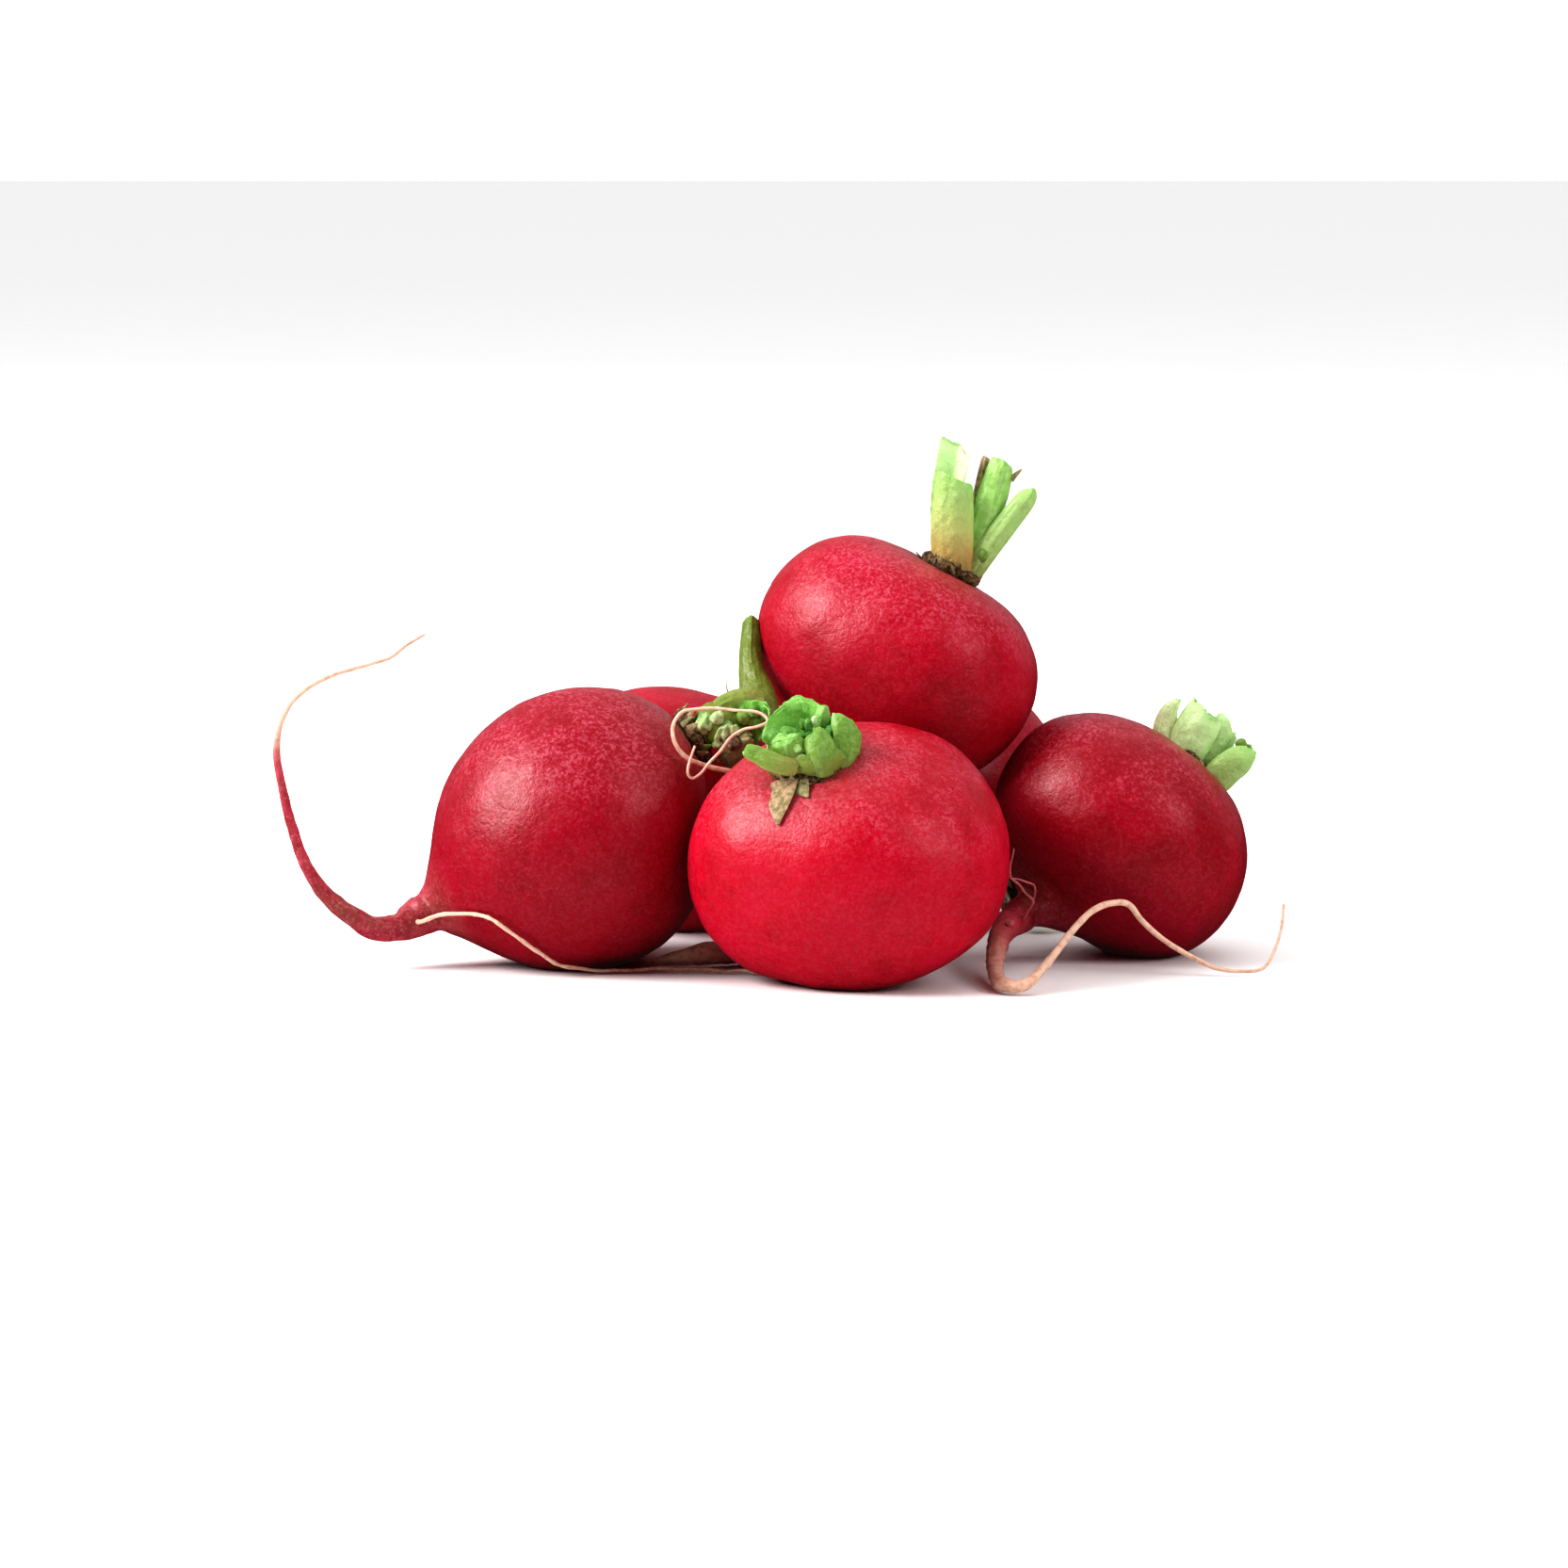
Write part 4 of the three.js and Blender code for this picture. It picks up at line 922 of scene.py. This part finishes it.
def radish_skin():
    """Crimson skin with pale flecks, duller at the crown, which turns pink and cream down the tail."""
    paint = Paint(bpy.data.materials.new("radish_skin"))
    rise, times, blend = paint.rise, paint.times, paint.mix
    broad = paint.noise(14, 3, 0.55)
    patchy = paint.noise(3.2, 4, 0.6, offset=3)
    fine = paint.noise(0.75, 3, 0.6, offset=7)
    flecks = paint.noise(0.42, 3, 0.7, offset=11)
    from_crown = paint.number("from_crown")
    tail, pale = paint.number("tail"), paint.number("pale")

    tone = paint.math("ADD", times(broad, 0.6), times(patchy, 0.4))
    colour = blend(rise(tone, 0.38, 0.52), DEEP, CRIMSON)
    colour = blend(rise(tone, 0.5, 0.66, 0, 0.75), colour, ROSE)
    # The red is multiplied by the radish's own share: its own deeper or brighter red, and on the rear bulbs
    # painted light and shade.
    tint_and_shade = paint.number("tint_and_shade")
    colour = blend(1.0, colour, paint.join(tint_and_shade, tint_and_shade, tint_and_shade), "MULTIPLY")
    # Greyer near the crown: partly the skin's own duller colour, partly a painted sheen.
    near_crown = times(rise(from_crown, 16, 4), rise(fine, 0.3, 0.7, 0.3, 0.85))
    colour = blend(near_crown, colour, DUSKY)
    # Pale and dark flecks, strongest where the skin faces up: partly its own flecks, partly a painted
    # reflection of the light overhead.
    flecked_and_sheen = times(paint.number("upper"), rise(tone, 0.4, 0.56, 0.25, 1))
    flecked_and_sheen = paint.math("MAXIMUM", flecked_and_sheen, LEAST_FLECKED)
    colour = blend(times(rise(flecks, 0.46, 0.62, 0, 0.65), flecked_and_sheen), colour, PALE_FLECK)
    colour = blend(times(rise(flecks, 0.46, 0.34, 0, 0.65), flecked_and_sheen), colour, DARK_FLECK)
    colour = blend(rise(from_crown, 5.6, 4.4, 0, 0.55), colour, CROWN_EDGE)
    on_tail = (
        (rise(patchy, 0.35, 0.65, 0.2, 0.8), PINK_PATCH),
        (rise(broad, 0.46, 0.6, 0, 0.6), EARTH),
        (rise(flecks, 0.5, 0.66, 0, 0.35), LIGHT_SPOT),
        (rise(fine, 0.54, 0.68, 0, 0.6), BLOTCH),
    )
    for share, tint in on_tail:
        colour = blend(times(tail, share), colour, tint)
    cream = blend(rise(fine, 0.42, 0.72, 0, 0.8), CREAM, DARK_CREAM)
    cream = blend(rise(pale, 0.25, 0.85), PINK, cream)
    colour = blend(pale, colour, cream)

    relief = paint.bump(paint.noise(3, 1, 0.5, offset=4), 0.16)
    relief = paint.bump(fine, 0.09, relief)
    relief = paint.bump(flecks, 0.08, relief)
    return paint.finish(
        Base_Color=colour,
        Roughness=rise(fine, 0.3, 0.7, 0.29, 0.42),
        Normal=relief,
        Specular_IOR_Level=0.38,
        Subsurface_Weight=0.08,
        Subsurface_Radius=(0.9, 0.25, 0.2),
        Subsurface_Scale=0.0015,
    )


def stalk_flesh(name, roughness, coat):
    """Green stalk tissue with lengthwise streaks, a wet pale cut, and dry or rusty parts."""
    paint = Paint(bpy.data.materials.new(name))
    rise, times, blend = paint.rise, paint.times, paint.mix
    grain = [paint.number(f"grain_{k}") for k in "xyz"]
    lengthwise = paint.join(grain[0], grain[1], times(grain[2], 0.12))
    streaks = paint.noise(0.55, 3, 0.6, place=lengthwise)
    broad = paint.noise(3, 3, 0.5)
    fine = paint.noise(0.5, 3, 0.6, offset=5)
    spots = paint.noise(0.8, 3, 0.6, offset=9)
    up, cut, inner = (paint.number(key) for key in ("up", "cut", "inner"))
    depth, olive, dry, rust = (paint.number(key) for key in LOOK_NUMBERS)

    twice = times(depth, 2)
    green = blend(paint.math("MINIMUM", twice, 1), PALE_GREEN, MIDDLE_GREEN)
    green = blend(paint.math("SUBTRACT", twice, 1, clamp=True), green, DEEP_GREEN)
    mottled = rise(depth, 0.35, 0.8, 0.15, 1)
    darker = times(mottled, rise(broad, 0.4, 0.65, 0, 0.5))
    green = blend(darker, green, MOTTLE, "MULTIPLY")
    green = blend(rise(streaks, 0.45, 0.7, 0, 0.25), green, STREAK)
    darker = times(mottled, rise(spots, 0.45, 0.6, 0, 0.85))
    green = blend(darker, green, SPOT, "MULTIPLY")
    # The scooped inner side is painted brighter: painted light.
    green = blend(times(inner, depth), green, INNER_LIT_GREEN)
    green = blend(times(olive, 0.85), green, OLIVE)
    green = blend(times(rise(up, 1, 0.3), times(rust, 0.75)), green, TAN)
    foot = times(rise(up, 0.5, 0.05), rise(streaks, 0.35, 0.6, 0.4, 0.9))
    green = blend(times(foot, rust), green, RUST)
    green = blend(times(rise(up, 0.3, 0), 0.4), green, FOOT)
    pulp = blend(rise(fine, 0.4, 0.62), *PULP)
    colour = blend(cut, green, blend(0.5, pulp, green))
    brown = blend(rise(fine, 0.38, 0.62), *BROWN)
    husk = blend(rise(spots, 0.4, 0.62), *HUSK)
    colour = blend(dry, colour, blend(olive, brown, husk))

    relief = paint.bump(streaks, 0.12)
    relief = paint.bump(spots, 0.2, relief)
    relief = paint.bump(fine, 0.14, relief)
    return paint.finish(
        Base_Color=colour,
        Roughness=rise(fine, 0.3, 0.7, roughness - 0.06, roughness + 0.1),
        Normal=relief,
        Specular_IOR_Level=0.4,
        Subsurface_Weight=0.12,
        Subsurface_Radius=(0.6, 1.0, 0.3),
        Subsurface_Scale=0.001,
        Coat_Weight=coat,
        Coat_Roughness=0.3,
    )


# ---------------------------------------------------------------- camera, floor and light

CAMERA_PLACE = (0.00026, -0.7739, 0.11084)
CAMERA_AIM = (0.00026, -0.02872, 0.02593)
LENS = 129.7  # on Blender's own sensor, 36 mm wide
WHITES = ((0.93, 0.93, 0.93), (0.96, 0.96, 0.96))  # of the floor
BACKDROP = 0.36  # brightness of the studio behind and above the bunch
CAMERA_WHITE = 2.0  # brightness added where the camera sees the studio itself
LIGHT_AIM = (0, 0, 0.03)
SKY = 1.25


def turned_to(place, aim):
    """The rotation of a lamp or camera at place that looks at aim."""
    return (Vector(aim) - Vector(place)).to_track_quat("-Z", "Y").to_euler()


def soft_light(name, place, size, watts, glossy=True):
    data = bpy.data.lights.new(name, "AREA")
    data.shape = "DISK"
    data.size = size
    data.energy = watts
    lamp = bpy.data.objects.new(name, data)
    lamp.visible_glossy = glossy
    lamp.location = place
    lamp.rotation_euler = turned_to(place, LIGHT_AIM)
    bpy.context.scene.collection.objects.link(lamp)


def make_stage():
    """The camera, a white floor, a white studio round it, and soft light from the upper left."""
    scene = bpy.context.scene
    camera = bpy.data.objects.new("camera", bpy.data.cameras.new("camera"))
    camera.location = CAMERA_PLACE
    camera.rotation_euler = turned_to(CAMERA_PLACE, CAMERA_AIM)
    camera.data.lens = LENS
    camera.data.clip_start = 0.01
    scene.collection.objects.link(camera)
    scene.camera = camera

    paint = Paint(bpy.data.materials.new("floor_white"))
    shade = paint.mix(paint.noise(40, 2), *WHITES)
    bpy.ops.mesh.primitive_plane_add(size=30, location=(0, 0, -0.0001))
    floor = bpy.context.object
    floor.name = "floor"
    floor.data.materials.append(paint.finish(Base_Color=shade, Roughness=0.9, Specular_IOR_Level=0.1))
    floor.visible_glossy = False

    light_studio(scene)
    scene.view_settings.view_transform = "Standard"
    scene.view_settings.look = "High Contrast"


def light_studio(scene):
    """A white backdrop behind and above, a dark room in front, and soft lights."""
    nodes = Paint(bpy.data.worlds.new("studio"))
    way = nodes.add("SeparateXYZ", dict(Vector=nodes.add("TexCoord").outputs["Generated"]))
    behind = nodes.rise(way.outputs["Y"], 0, 0.8, 0, BACKDROP)
    behind = nodes.times(behind, nodes.rise(way.outputs["Z"], -0.1, 0.2))
    above = nodes.rise(way.outputs["Z"], 0.35, 0.95, 0, BACKDROP)
    below = nodes.rise(way.outputs["Z"], 0.0, -0.3, 0, 0.03)
    shade = nodes.math("ADD", nodes.math("ADD", behind, above), below)
    seen = nodes.add("LightPath").outputs["Is Camera Ray"]
    shade = nodes.math("ADD", shade, nodes.times(seen, CAMERA_WHITE))
    nodes.plug(nodes.tree.nodes["Background"].inputs["Color"], nodes.join(shade, shade, shade))
    scene.world = nodes.owner

    soft_light("key", (-1.06, -0.25, 0.74), size=0.75, watts=19)
    soft_light("fill", (0.9, -0.6, 0.45), size=0.6, watts=2, glossy=False)
    soft_light("second", (0.88, -0.56, 0.7), size=0.5, watts=3.2)
    sky = bpy.data.objects.new("sky", bpy.data.lights.new("sky", "SUN"))
    sky.data.energy = SKY
    sky.data.angle = math.radians(100)
    sky.rotation_euler = (math.radians(-12), 0, 0)
    sky.visible_glossy = False
    scene.collection.objects.link(sky)


# ---------------------------------------------------------------- the bunch

make_stage()
skin = radish_skin()
green = stalk_flesh("stalk_flesh", 0.42, 0.15)
cork = stalk_flesh("crown_cork", 0.7, 0.0)
for number, radish in enumerate(RADISHES):
    name, seed = radish["name"], 100 * number + 11
    parts = [root_surface(radish, seed)]
    for i, points in enumerate(radish["roots"][1:]):
        parts.append(rootlet(points, seed + i))
    make_piece(f"{name}_skin", parts, skin, f"{name}_root", crease=70)
    make_piece(f"{name}_collar", collar(radish, seed), cork, f"{name}_crown")
    make_piece(f"{name}_stalks", stalk_cluster(radish, seed), green, f"{name}_leaf_stalks")
